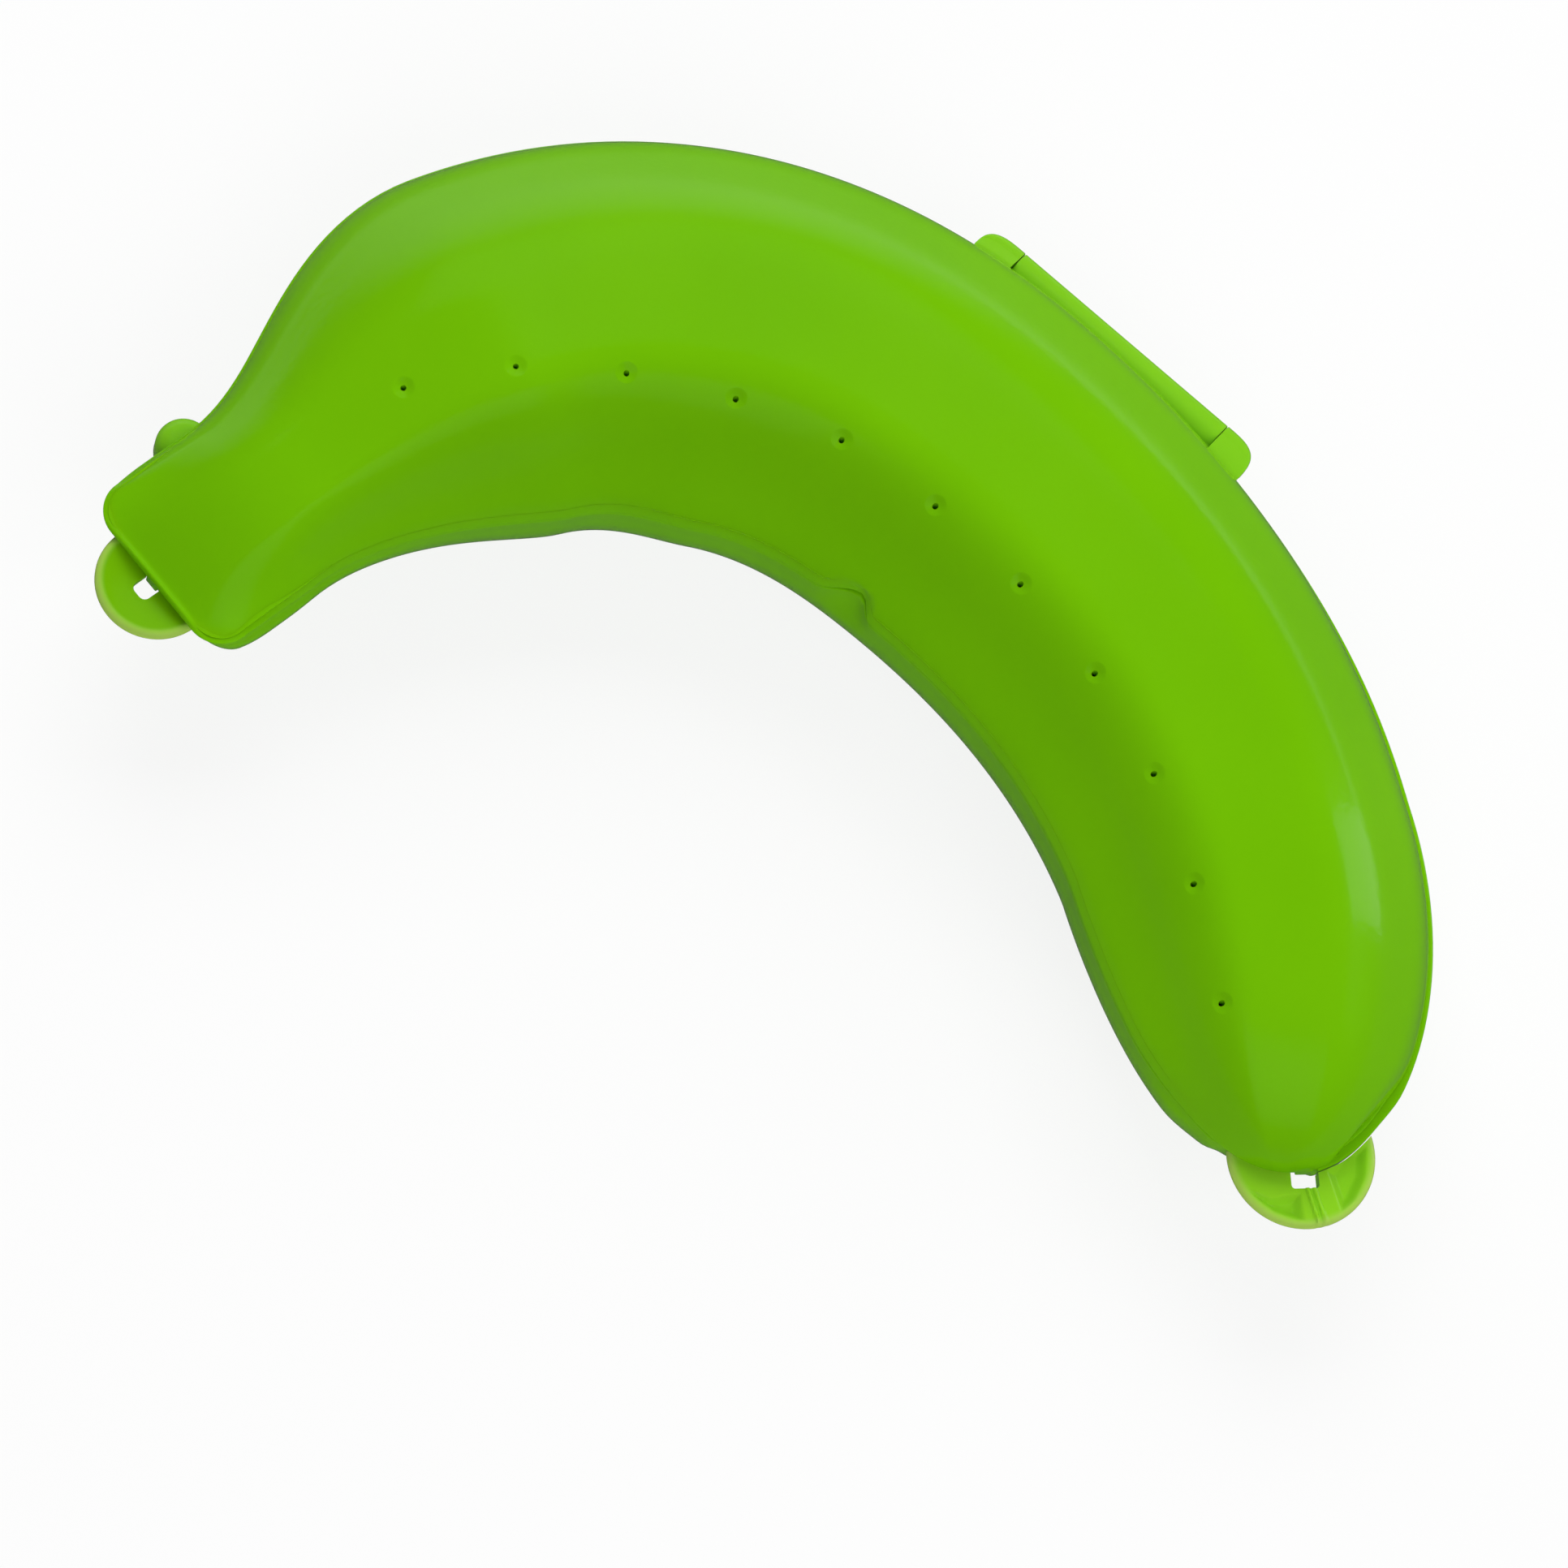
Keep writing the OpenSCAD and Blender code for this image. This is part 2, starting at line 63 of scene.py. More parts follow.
RIM_OVERHANG = 0.5
LIP = 0.65
TONGUE_OUTER = 0.95
TONGUE_TOP = 1.5
HINGE_AT, HINGE_DROP = 136.5, 2.8
BARREL_RADIUS = 2.3
TAB_ROOT = 0.8
TAB_THICKNESS, TAB_DROP = 1.8, 0.4
STEM_TAB_RADIUS, STEM_TAB_INSET = 8.4, 1.3
TIP_TAB_RADIUS, TIP_TAB_INSET, TIP_TAB_TURN = 10.5, 2.8, 9.3
VENT_COUNT, VENT_PITCH, VENT_GROWTH = 11, 15.3, 0.13
VENT_FIRST_AT, VENT_ROW_START, VENT_ROW_RUN = 41.2, 37.0, 55.0
NOTCH_AT = 133.5
LUG_AT, LUG_RADIUS, LUG_DROP, LUG_HEIGHT = 17.5, 4.0, 1.4, 7.0

# Sizes of the looks alone, in millimetres; fades and blends are shares of the half width
STEM_CORNER = 5.0
LID_END_ROUND, LOWER_END_ROUND = 24.0, 10.0
LID_END_PULL, LOWER_END_PULL, END_PULL_REACH = 0.3, 1.2, 8.0
# The low bead along the lid's stem end, with a long slope behind it: places along and heights
BEAD_S = (0.0, 0.08, 0.2, 0.36, 0.52, 0.68, 0.84, 1.05, 1.4, 1.9, 2.4)
BEAD_Z = (0.0, 0.42, 0.64, 0.74, 0.74, 0.66, 0.60, 0.62, 0.77, 1.04, 1.33)
LID_EDGE, LOWER_EDGE, TONGUE_EDGE = 0.35, 0.35, 0.2
GROOVE_ROOM = 0.4
END_TONGUE_TOP, END_TONGUE_FROM, END_TONGUE_REACH = 0.5, 2.0, 9.0
INNER_RIM, INNER_FLANK = -0.12, 0.75
LID_FLARE, LID_FLARE_FADE = 1.0, 0.35
FLARE_STEM_GAP, FLARE_STEM_RUN, FLARE_TIP_GAP, FLARE_TIP_RUN = 4.0, 45.0, 3.0, 16.0
RIM_FLARE, RIM_FLARE_REACH = 0.2, 38.0
SKIRT, SKIRT_FROM, SKIRT_REACH, TIP_SKIRT = 0.35, 160.0, 30.0, 0.3
OVERHANG_FROM, OVERHANG_RUN, SIDE_BLEND = 1.0, 9.0, 0.25
TAB_RECESS, RECESS_BACK, RECESS_BACK_RUN = 0.8, 12.0, 6.0
RECESS_RIGHT, RECESS_RIGHT_RUN, RECESS_LEFT, RECESS_LEFT_RUN = 13.0, 2.5, 2.0, 1.4
TIP_DRAW_IN, TIP_DRAW_FADE, DRAW_BACK, DRAW_BACK_RUN = 1.7, 0.35, 16.0, 12.0
DRAW_FROM, DRAW_FROM_RUN, DRAW_TO, DRAW_TO_RUN = 2.0, 7.0, 30.0, 18.0
VENT_RADIUS, VENT_ROW_SHARE = 0.4, 0.548
DIMPLE_RADIUS, DIMPLE_DEPTH, DIMPLE_POWER = 1.6, 0.34, 1.5
NOTCH_LEFT, NOTCH_RIGHT, NOTCH_FADE = 8.0, 4.2, 0.15
NOTCH_RISE, LID_NOTCH, LOWER_NOTCH = 1.7, 2.3, 1.8
CLAW_THICKNESS, CLAW_WIDTH, CLAW_TOP, CLAW_REACH = 0.5, 2.2, 0.6, 1.6

# Where the plan starts in the frame: the stem's end, on the parting plane
joints = {joint["name"]: joint for joint in frame["joints"]}
stem_turn = math.radians(STEM_HEADING + 180)
stem_out = np.array([math.cos(stem_turn), math.sin(stem_turn)])
STEM_END = np.array(joints["stem_tab_flex"]["pos_m"][:2]) / MM - TAB_ROOT * stem_out
PARTING_Z = joints["lid_hinge"]["pos_m"][2] / MM + HINGE_DROP


# Plan of the case
def ease(t):
    t = np.clip(t, 0.0, 1.0)
    return t * t * (3 - 2 * t)


def heading(s):
    turned = BEND_TURN * ease((s - BEND_START) / (BEND_END - BEND_START))
    turned = turned + BODY_TURN * ease((s - BODY_START) / (BODY_END - BODY_START))
    return np.radians(STEM_HEADING - turned)


LINE_STEP, LINE_PAST = 0.25, 4.0
line_s = np.arange(-LINE_PAST, CASE_LEN + LINE_PAST + LINE_STEP, LINE_STEP)
line_turn = heading(line_s[:-1] + LINE_STEP / 2)
line_x = np.concatenate([[0.0], np.cumsum(np.cos(line_turn)) * LINE_STEP])
line_y = np.concatenate([[0.0], np.cumsum(np.sin(line_turn)) * LINE_STEP])
line_x += STEM_END[0] - np.interp(0.0, line_s, line_x)
line_y += STEM_END[1] - np.interp(0.0, line_s, line_y)


def plan(s, n):
    """Points at s along the middle line and n towards the outer curve."""
    turn = heading(s)
    x = np.interp(s, line_s, line_x) - n * np.sin(turn)
    y = np.interp(s, line_s, line_y) + n * np.cos(turn)
    return x, y


def full_half(s):
    rise = STEM_HALF + (SHOULDER_HALF - STEM_HALF) * ease((s - NECK_AT) / (SHOULDER_AT - NECK_AT))
    late = np.clip((s - SHOULDER_AT) / (TIP_START - SHOULDER_AT), 0.0, 1.0)
    return np.where(s < SHOULDER_AT, rise, SHOULDER_HALF - (SHOULDER_HALF - TIP_HALF) * late**TAPER_POWER)


def half_width(s, inset, side):
    drawn = DRAW_IN * ease(1 - np.abs(s - DRAW_IN_AT) / DRAW_IN_REACH)
    width = full_half(s) - inset - np.where(side < 0, drawn, 0.0)
    corner = STEM_CORNER - inset
    at_corner = width - corner + np.sqrt(np.maximum(0.0, corner**2 - (STEM_CORNER - s) ** 2))
    at_tip = width * np.sqrt(np.maximum(0.0, 1 - ((s - TIP_START) / (TIP_ROUND - inset)) ** 2))
    return np.where(s < STEM_CORNER, at_corner, np.where(s > TIP_START, at_tip, width))


def depth_at(s, stem, body):
    return stem + (body - stem) * ease((s - NECK_AT) / (SHOULDER_AT - NECK_AT))


# The flat pattern of a shell runs from 0 to 1 along and from -1 to 1 across
END_SHARE, TIP_SHARE = 0.18, 0.22
LID_CROWDING, LOWER_CROWDING = 2.2, 1.4


def station(u, end, end_rise, end_round, inset):
    """Place along the middle line, and share of the full depth, of the pattern's row u."""
    tip_angle = np.radians(90) * np.clip((u - 1 + TIP_SHARE) / TIP_SHARE, 0, 1)
    body = end_round + (TIP_START - end_round) * (u - END_SHARE) / (1 - END_SHARE - TIP_SHARE)
    s = np.where(u < END_SHARE, end, body)
    s = np.where(u > 1 - TIP_SHARE, TIP_START + (TIP_ROUND - inset) * np.sin(tip_angle), s)
    rise = np.where(u < END_SHARE, end_rise, np.where(u > 1 - TIP_SHARE, np.cos(tip_angle), 1.0))
    return s, rise


def lid_station(u, inset):
    t = np.clip(u / END_SHARE, 0, 1) ** LID_CROWDING
    return station(u, inset + (LID_END_ROUND - inset) * t, np.sin(t * np.pi / 2), LID_END_ROUND, inset)


def lower_station(u, inset):
    angle = np.radians(90) * np.clip(u / END_SHARE, 0, 1) ** LOWER_CROWDING
    end = LOWER_END_ROUND - (LOWER_END_ROUND - inset) * np.cos(angle)
    return station(u, end, np.sin(angle), LOWER_END_ROUND, inset)


# Section of the lid: a broad top, flanks of one slope, and a quick turn down at the edge
section_x = np.linspace(0, 1, 401)


def section_heights(top, ramp, edge, turn):
    """Heights across half the lid: a flat top, one slope after the ramp, and a turn down at the edge."""
    slope = ease((section_x - top) / ramp) + turn * np.maximum(0, (section_x - 1 + edge) / edge) ** 2
    drop = np.concatenate([[0.0], np.cumsum((slope[1:] + slope[:-1]) / 2)])
    return 1 - drop / drop[-1]


outer_heights = section_heights(top=0.08, ramp=0.62, edge=0.2, turn=2.2)
inner_heights = section_heights(top=0.3, ramp=0.46, edge=0.1, turn=0.6)


def lid_section(v):
    slope = math.radians(LID_SLOPE)
    share = np.sin(slope * v) / math.sin(slope)
    outer = np.interp(share, section_x, outer_heights)
    return share, np.where(share > 0, outer, np.interp(-share, section_x, inner_heights))


STRAIGHT_SHARE = 0.1


def lower_section(v):
    wall = np.clip((1 - np.abs(v)) / STRAIGHT_SHARE, 0, 1) * LOWER_STRAIGHT
    angle = np.radians(90) * np.clip(np.abs(v) / (1 - STRAIGHT_SHARE), 0, 1)
    return np.sign(v) * np.sin(angle), wall + (1 - LOWER_STRAIGHT) * np.cos(angle)


def end_pull(s, pull):
    return pull * ease(1 - s / END_PULL_REACH)


# Place and facing of the tip's tab
tip_s = TIP_START + TIP_ROUND * math.cos(math.radians(TIP_TAB_TURN))
tip_turn = float(heading(np.array(tip_s))) + math.radians(TIP_TAB_TURN)
tip_edge = np.array(plan(np.array(tip_s), half_width(np.array(tip_s), 0.0, np.array(1.0))))


def from_tip(x, y):
    """Plan points as distances outwards from the lid's edge at the tip tab, and to its left."""
    c, s = math.cos(tip_turn), math.sin(tip_turn)
    return (x - tip_edge[0]) * c + (y - tip_edge[1]) * s, (y - tip_edge[1]) * c - (x - tip_edge[0]) * s


def tongue_top(s):
    return END_TONGUE_TOP + (TONGUE_TOP - END_TONGUE_TOP) * ease((s - END_TONGUE_FROM) / END_TONGUE_REACH)


def notch_push(s, v, depth):
    """The finger notch in the inner rim: deepest near its tip end, and fading away from the rim."""
    before = ease(1 - (NOTCH_AT - s) / NOTCH_LEFT)
    after = ease(1 - (s - NOTCH_AT) / NOTCH_RIGHT)
    push = depth * np.where(s < NOTCH_AT, before, after) * ease(1 - (1 + v) / NOTCH_FADE)
    return np.where(v < 0, push, 0.0)


def notch_rise(s, v):
    """How far the parting line climbs at the notch."""
    return notch_push(s, v, NOTCH_RISE)


def lid_flare(s):
    """How far the lid's inner edge stands out past the solid's."""
    grown = ease((s - FLARE_STEM_GAP) / FLARE_STEM_RUN)
    left_over = ease((CASE_LEN - FLARE_TIP_GAP - s) / FLARE_TIP_RUN)
    return LID_FLARE * grown * left_over


def lid_push(s, v, share):
    """How far the lid's edge draws in, at the notch and beside the tip tab, less its flare outwards."""
    out, left = from_tip(*plan(s, share * half_width(s, 0.0, v)))
    beside = ease((left - DRAW_FROM) / DRAW_FROM_RUN) * ease((DRAW_TO - left) / DRAW_TO_RUN)
    beside = beside * ease((out + DRAW_BACK) / DRAW_BACK_RUN)
    beside = TIP_DRAW_IN * beside * ease(1 - (1 - v) / TIP_DRAW_FADE) * (v > 0)
    flare = lid_flare(s) * ease(1 - (1 + v) / LID_FLARE_FADE) * (v < 0)
    return notch_push(s, v, LID_NOTCH) + beside - flare


# Mesh helpers; the angles in degrees are how far apart two faces may lean and still be smoothed
SHELL_SMOOTH, PART_SMOOTH, LUG_SMOOTH, CUTTER_SMOOTH = 40, 50, 60, 30
SHARP_ANGLE = 40
MERGE_DISTANCE, PATTERN_MERGE = 4e-7, 1e-5


def alone(obj):
    bpy.ops.object.select_all(action="DESELECT")
    obj.select_set(True)
    bpy.context.view_layer.objects.active = obj


def newest():
    return bpy.context.active_object


def points_of(obj):
    co = np.empty(len(obj.data.vertices) * 3)
    obj.data.vertices.foreach_get("co", co)
    return co.reshape(-1, 3)


def set_points(obj, co):
    obj.data.vertices.foreach_set("co", np.ascontiguousarray(co, dtype=np.float32).ravel())
    obj.data.update()


def in_frame(x, y, z):
    """Plan points in millimetres and heights over the parting plane, as points of the frame in metres."""
    return np.stack([x, y, z + PARTING_Z], axis=-1) * MM


def close_up(obj, angle, fill=False):
    """Merges what meets, fills open ends if asked to, turns the faces outwards and smooths them."""
    alone(obj)
    bpy.ops.object.mode_set(mode="EDIT")
    bpy.ops.mesh.select_all(action="SELECT")
    bpy.ops.mesh.remove_doubles(threshold=MERGE_DISTANCE)
    if fill:
        bpy.ops.mesh.fill_holes(sides=0)
        bpy.ops.mesh.select_all(action="SELECT")
    bpy.ops.mesh.normals_make_consistent(inside=False)
    bpy.ops.object.mode_set(mode="OBJECT")
    bpy.ops.object.shade_smooth_by_angle(angle=math.radians(angle))


def settle(obj):
    """Puts a piece's place into its mesh."""
    alone(obj)
    bpy.ops.object.transform_apply(location=True, rotation=True, scale=True)


def cut_out(obj, other):
    """Takes the other's volume out of the piece, and removes the other."""
    alone(obj)
    boolean = obj.modifiers.new("cut_out", "BOOLEAN")
    boolean.operation = "DIFFERENCE"
    boolean.solver = "EXACT"
    boolean.object = other
    bpy.ops.object.modifier_apply(modifier=boolean.name)
    bpy.data.objects.remove(other)


def soften(obj, width, segments):
    """Rounds the sharp edges of a piece."""
    alone(obj)
    bevel = obj.modifiers.new("soften", "BEVEL")
    bevel.width = width * MM
    bevel.segments = segments
    bevel.limit_method = "ANGLE"
    bevel.angle_limit = math.radians(SHARP_ANGLE)
    bpy.ops.object.modifier_apply(modifier=bevel.name)


def joined(objects, name):
    bpy.ops.object.select_all(action="DESELECT")
    for obj in objects:
        obj.select_set(True)
    bpy.context.view_layer.objects.active = objects[0]
    bpy.ops.object.join()
    objects[0].name = name
    return objects[0]


def new_grid(name, along, across):
    """A flat grid from -1 to 1 both ways, to be shaped point by point."""
    bpy.ops.object.select_all(action="DESELECT")
    bpy.ops.mesh.primitive_grid_add(x_subdivisions=along, y_subdivisions=across, size=2)
    grid = newest()
    grid.name = name
    return grid


def refine(pattern, spots, reach_u, reach_v, cuts):
    """Subdivides the pattern's faces around each spot."""
    mesh = pattern.data
    alone(pattern)
    centres = np.empty(len(mesh.polygons) * 3)
    mesh.polygons.foreach_get("center", centres)
    centres = centres.reshape(-1, 3)
    near = np.zeros(len(centres), bool)
    for u, v in spots:
        off_u, off_v = (centres[:, 0] - (2 * u - 1)) / (2 * reach_u), (centres[:, 1] - v) / reach_v
        near |= off_u**2 + off_v**2 < 1
    bpy.ops.object.mode_set(mode="EDIT")
    bpy.ops.mesh.select_mode(type="FACE")
    bpy.ops.mesh.select_all(action="DESELECT")
    bpy.ops.object.mode_set(mode="OBJECT")
    mesh.polygons.foreach_set("select", near)
    bpy.ops.object.mode_set(mode="EDIT")
    bpy.ops.mesh.subdivide(number_cuts=cuts)
    bpy.ops.object.mode_set(mode="OBJECT")


def add_rim_and_lining(pattern, along, across, layers):
    """Extrudes the pattern's edge once per rim loop, and lays the inner skin's grid on the last loop."""
    alone(pattern)
    bpy.ops.object.mode_set(mode="EDIT")
    bpy.ops.mesh.select_mode(type="EDGE")
    bpy.ops.mesh.select_all(action="DESELECT")
    bpy.ops.mesh.select_non_manifold(
        use_wire=False, use_multi_face=False, use_non_contiguous=False, use_verts=False
    )
    for layer in range(layers):
        bpy.ops.mesh.extrude_region_move(TRANSFORM_OT_translate={"value": (0, 0, 1)})
    bpy.ops.mesh.select_all(action="DESELECT")
    bpy.ops.mesh.primitive_grid_add(
        x_subdivisions=along, y_subdivisions=across, size=2, location=(0, 0, layers)
    )
    bpy.ops.mesh.select_all(action="SELECT")
    bpy.ops.mesh.remove_doubles(threshold=PATTERN_MERGE)
    bpy.ops.object.mode_set(mode="OBJECT")


def corner_arc(inset, z, radius, first, last, steps):
    """Points around a centre in a rim's section, the angle measured up from outwards."""
    angles = np.radians(np.linspace(first, last, steps + 1))
    return [(inset - radius * math.cos(a), z + radius * math.sin(a)) for a in angles]


# Vents: a row inside the middle line, its spacing measured along the row
def vent_side(s):
    run = 1 - (1 - np.clip((s - VENT_ROW_START) / VENT_ROW_RUN, 0, 1)) ** 2
    return -VENT_ROW_SHARE * run * half_width(s, 0.0, np.full_like(s, -1.0))


ROW_END_GAP = 5.0
row_s = np.arange(VENT_FIRST_AT, CASE_LEN - ROW_END_GAP, LINE_STEP)
row_x, row_y = plan(row_s, vent_side(row_s))
row_len = np.concatenate([[0.0], np.cumsum(np.hypot(np.diff(row_x), np.diff(row_y)))])
vent_k = np.arange(VENT_COUNT)
vent_s = np.interp(vent_k * VENT_PITCH + vent_k * (vent_k - 1) / 2 * VENT_GROWTH, row_len, row_s)
vent_n = vent_side(vent_s)


# Lid
LID_LEAN = 90 - LID_SLOPE
LID_BASE = RIM_Z + LID_EDGE * (1 + math.sin(math.radians(LID_LEAN)))
LID_CORNER = 0.15
LID_ROWS, LID_COLUMNS = 236, 104
VENT_REACHES = ((0.0105, 0.075), (0.0085, 0.062))
DRILL_LEN = 8.0


def lid_outer(u, v):
    """The lid's outer skin, with the low bead along the stem's end."""
    s, rise = lid_station(u, 0.0)
    share, height = lid_section(v)
    n = share * (half_width(s, 0.0, v) - lid_push(s, v, share))
    depth = depth_at(s, LID_STEM_DEPTH, LID_DEPTH) - LID_BASE + RIM_Z
    slope = np.sin(np.pi / 2 * np.clip((s - BEAD_S[-1]) / (LID_END_ROUND - BEAD_S[-1]), 0, 1))
    end = np.where(s < BEAD_S[-1], np.interp(s, BEAD_S, BEAD_Z), BEAD_Z[-1] + (depth - BEAD_Z[-1]) * slope)
    z = LID_BASE + np.where(u < END_SHARE, end, rise * depth) * height
    z = z + notch_rise(s, v)
    x, y = plan(s + end_pull(s, LID_END_PULL), n)
    return np.stack([x, y, z], axis=-1)


lid_rows_u = np.linspace(0, 1, 8001)
lid_rows_s = lid_station(lid_rows_u, 0.0)[0]


def lid_facing(u, v):
    """Unit normals of the lid's outer skin."""
    step = 1e-3
    here = lid_outer(u, v)
    normal = np.cross(lid_outer(u + step, v) - here, lid_outer(u, v + step) - here)
    normal /= np.linalg.norm(normal, axis=-1, keepdims=True)
    return normal * np.sign(normal[..., 2:3])


def make_lid_shell():
    lean = math.radians(LID_LEAN)
    arc_inset, arc_z = LID_EDGE * math.cos(lean), LID_BASE - LID_EDGE * math.sin(lean)
    loops = corner_arc(arc_inset, arc_z, LID_EDGE, LID_LEAN, -90, 6)
    loops = loops[1:] + [(LIP - LID_CORNER, RIM_Z), (LIP, RIM_Z + LID_CORNER), (LIP, None)]
    last = len(loops) + 1
    spot_u = np.interp(vent_s, lid_rows_s, lid_rows_u)
    slope = math.radians(LID_SLOPE)
    spot_v = np.arcsin(vent_n / half_width(vent_s, 0.0, vent_n) * math.sin(slope)) / slope
    shell = new_grid("lid_shell", LID_ROWS, LID_COLUMNS)
    spots = list(zip(spot_u, spot_v))
    for reach_u, reach_v in VENT_REACHES:
        refine(shell, spots, reach_u, reach_v, 2)
    add_rim_and_lining(shell, LID_ROWS, LID_COLUMNS, last)
    flat = points_of(shell)
    u, v, layer = (flat[:, 0] + 1) / 2, flat[:, 1], np.rint(flat[:, 2]).astype(int)
    at = lid_outer(u, v)
    vent_tops = lid_outer(spot_u, spot_v)
    undented = at.copy()
    for top, normal in zip(vent_tops, lid_facing(spot_u, spot_v)):
        away = np.minimum(np.linalg.norm(undented - top, axis=1) / DIMPLE_RADIUS, 1)
        at -= normal * (DIMPLE_DEPTH * (1 - away**2) ** DIMPLE_POWER)[:, None]
    for k, (inset, z) in enumerate(loops, start=1):
        here = layer == k
        across = v[here]
        s = lid_station(u[here], inset)[0]
        share = np.clip(lid_section(across)[0], -1, 1)
        n = share * (half_width(s, inset, across) - lid_push(s, across, share))
        x, y = plan(s + end_pull(s, LID_END_PULL), n)
        height = tongue_top(s) + GROOVE_ROOM if z is None else np.full_like(x, z)
        at[here] = np.stack([x, y, height + notch_rise(s, across)], axis=-1)
    inner = layer == last
    across = v[inner]
    lining = WALL + (TONGUE_TOP + GROOVE_ROOM) / math.tan(math.radians(LID_SLOPE))
    s, rise = lid_station(u[inner], lining)
    share, height = lid_section(across)
    base = tongue_top(s) + GROOVE_ROOM + notch_rise(s, across)
    n = share * (half_width(s, lining, across) - lid_push(s, across, share))
    x, y = plan(s + end_pull(s, LID_END_PULL), n)
    z = base + rise * (depth_at(s, LID_STEM_DEPTH, LID_DEPTH) - WALL - base) * height
    at[inner] = np.stack([x, y, z], axis=-1)
    set_points(shell, in_frame(at[:, 0], at[:, 1], at[:, 2]))
    close_up(shell, SHELL_SMOOTH)
    drills = []
    for top in vent_tops:
        bpy.ops.object.select_all(action="DESELECT")
        bpy.ops.mesh.primitive_cylinder_add(
            vertices=24, radius=VENT_RADIUS * MM, depth=DRILL_LEN * MM, location=in_frame(*top)
        )
        drills.append(newest())
    cut_out(shell, joined(drills, "vent_drills"))
    close_up(shell, SHELL_SMOOTH)
    return shell


# Hinge frame: X along the axis towards the tip, Y outwards, Z up
hinge_at = np.array(joints["lid_hinge"]["pos_m"][:2]) / MM
hinge_x = -np.array(joints["lid_hinge"]["axis"][:2])
hinge_y = np.array([-hinge_x[1], hinge_x[0]])
RIM_FIRST, RIM_LAST = 80.0, 190.0
rim_s = np.linspace(RIM_FIRST, RIM_LAST, 441)
rim_points = np.stack(plan(rim_s, half_width(rim_s, 0.0, np.ones_like(rim_s))), axis=-1) - hinge_at
rim_along, rim_out = rim_points @ hinge_x, rim_points @ hinge_y
KNUCKLE_ROOM, KNUCKLE_PLACE = 0.3, 8.0


def from_hinge(x, y, z):
    """Points of the hinge frame as points of the frame in metres."""
    at_x = hinge_at[0] + x * hinge_x[0] + y * hinge_y[0]
    at_y = hinge_at[1] + x * hinge_x[1] + y * hinge_y[1]
    return in_frame(at_x, at_y, z - HINGE_DROP)


# Lower shell
LOWER_ROWS, LOWER_COLUMNS = 210, 96
BARREL_FIRST, BARREL_LAST = -19.4, 18.4
KNUCKLE_GAP = 0.12
KNUCKLE_LEN = 6.1


def overhang(s, v, share, at_rim):
    """How far the lower shell stands out past the lid's edge; at_rim is 1 at the rim and 0 down the wall."""
    outer = RIM_OVERHANG + RIM_FLARE * ease(1 - np.abs(s - HINGE_AT) / RIM_FLARE_REACH)
    outer = outer + SKIRT * ease((s - SKIRT_FROM) / SKIRT_REACH)
    inner = INNER_FLANK + (INNER_RIM + lid_flare(s) - INNER_FLANK) * at_rim
    outer_part = ease((v + SIDE_BLEND) / (2 * SIDE_BLEND))
    out = (inner + (outer - inner) * outer_part) * ease((s - OVERHANG_FROM) / OVERHANG_RUN)
    along = np.interp(s, rim_s, rim_along)
    room = -np.interp(s, rim_s, rim_out) - BARREL_RADIUS - KNUCKLE_ROOM
    by_knuckle = (along < BARREL_FIRST) & (along > BARREL_FIRST - KNUCKLE_PLACE) & (v > 0)
    out = np.where(by_knuckle, np.minimum(out, room), out)
    ahead, left = from_tip(*plan(s, share * half_width(s, 0.0, v)))
    at_tip = ease((ahead + RECESS_BACK) / RECESS_BACK_RUN)
    under_tab = ease((left + RECESS_RIGHT) / RECESS_RIGHT_RUN) * ease((RECESS_LEFT - left) / RECESS_LEFT_RUN)
    skirt = TIP_SKIRT * (left > 0)
    return out + at_tip * (skirt - out + under_tab * (-TAB_RECESS - skirt))


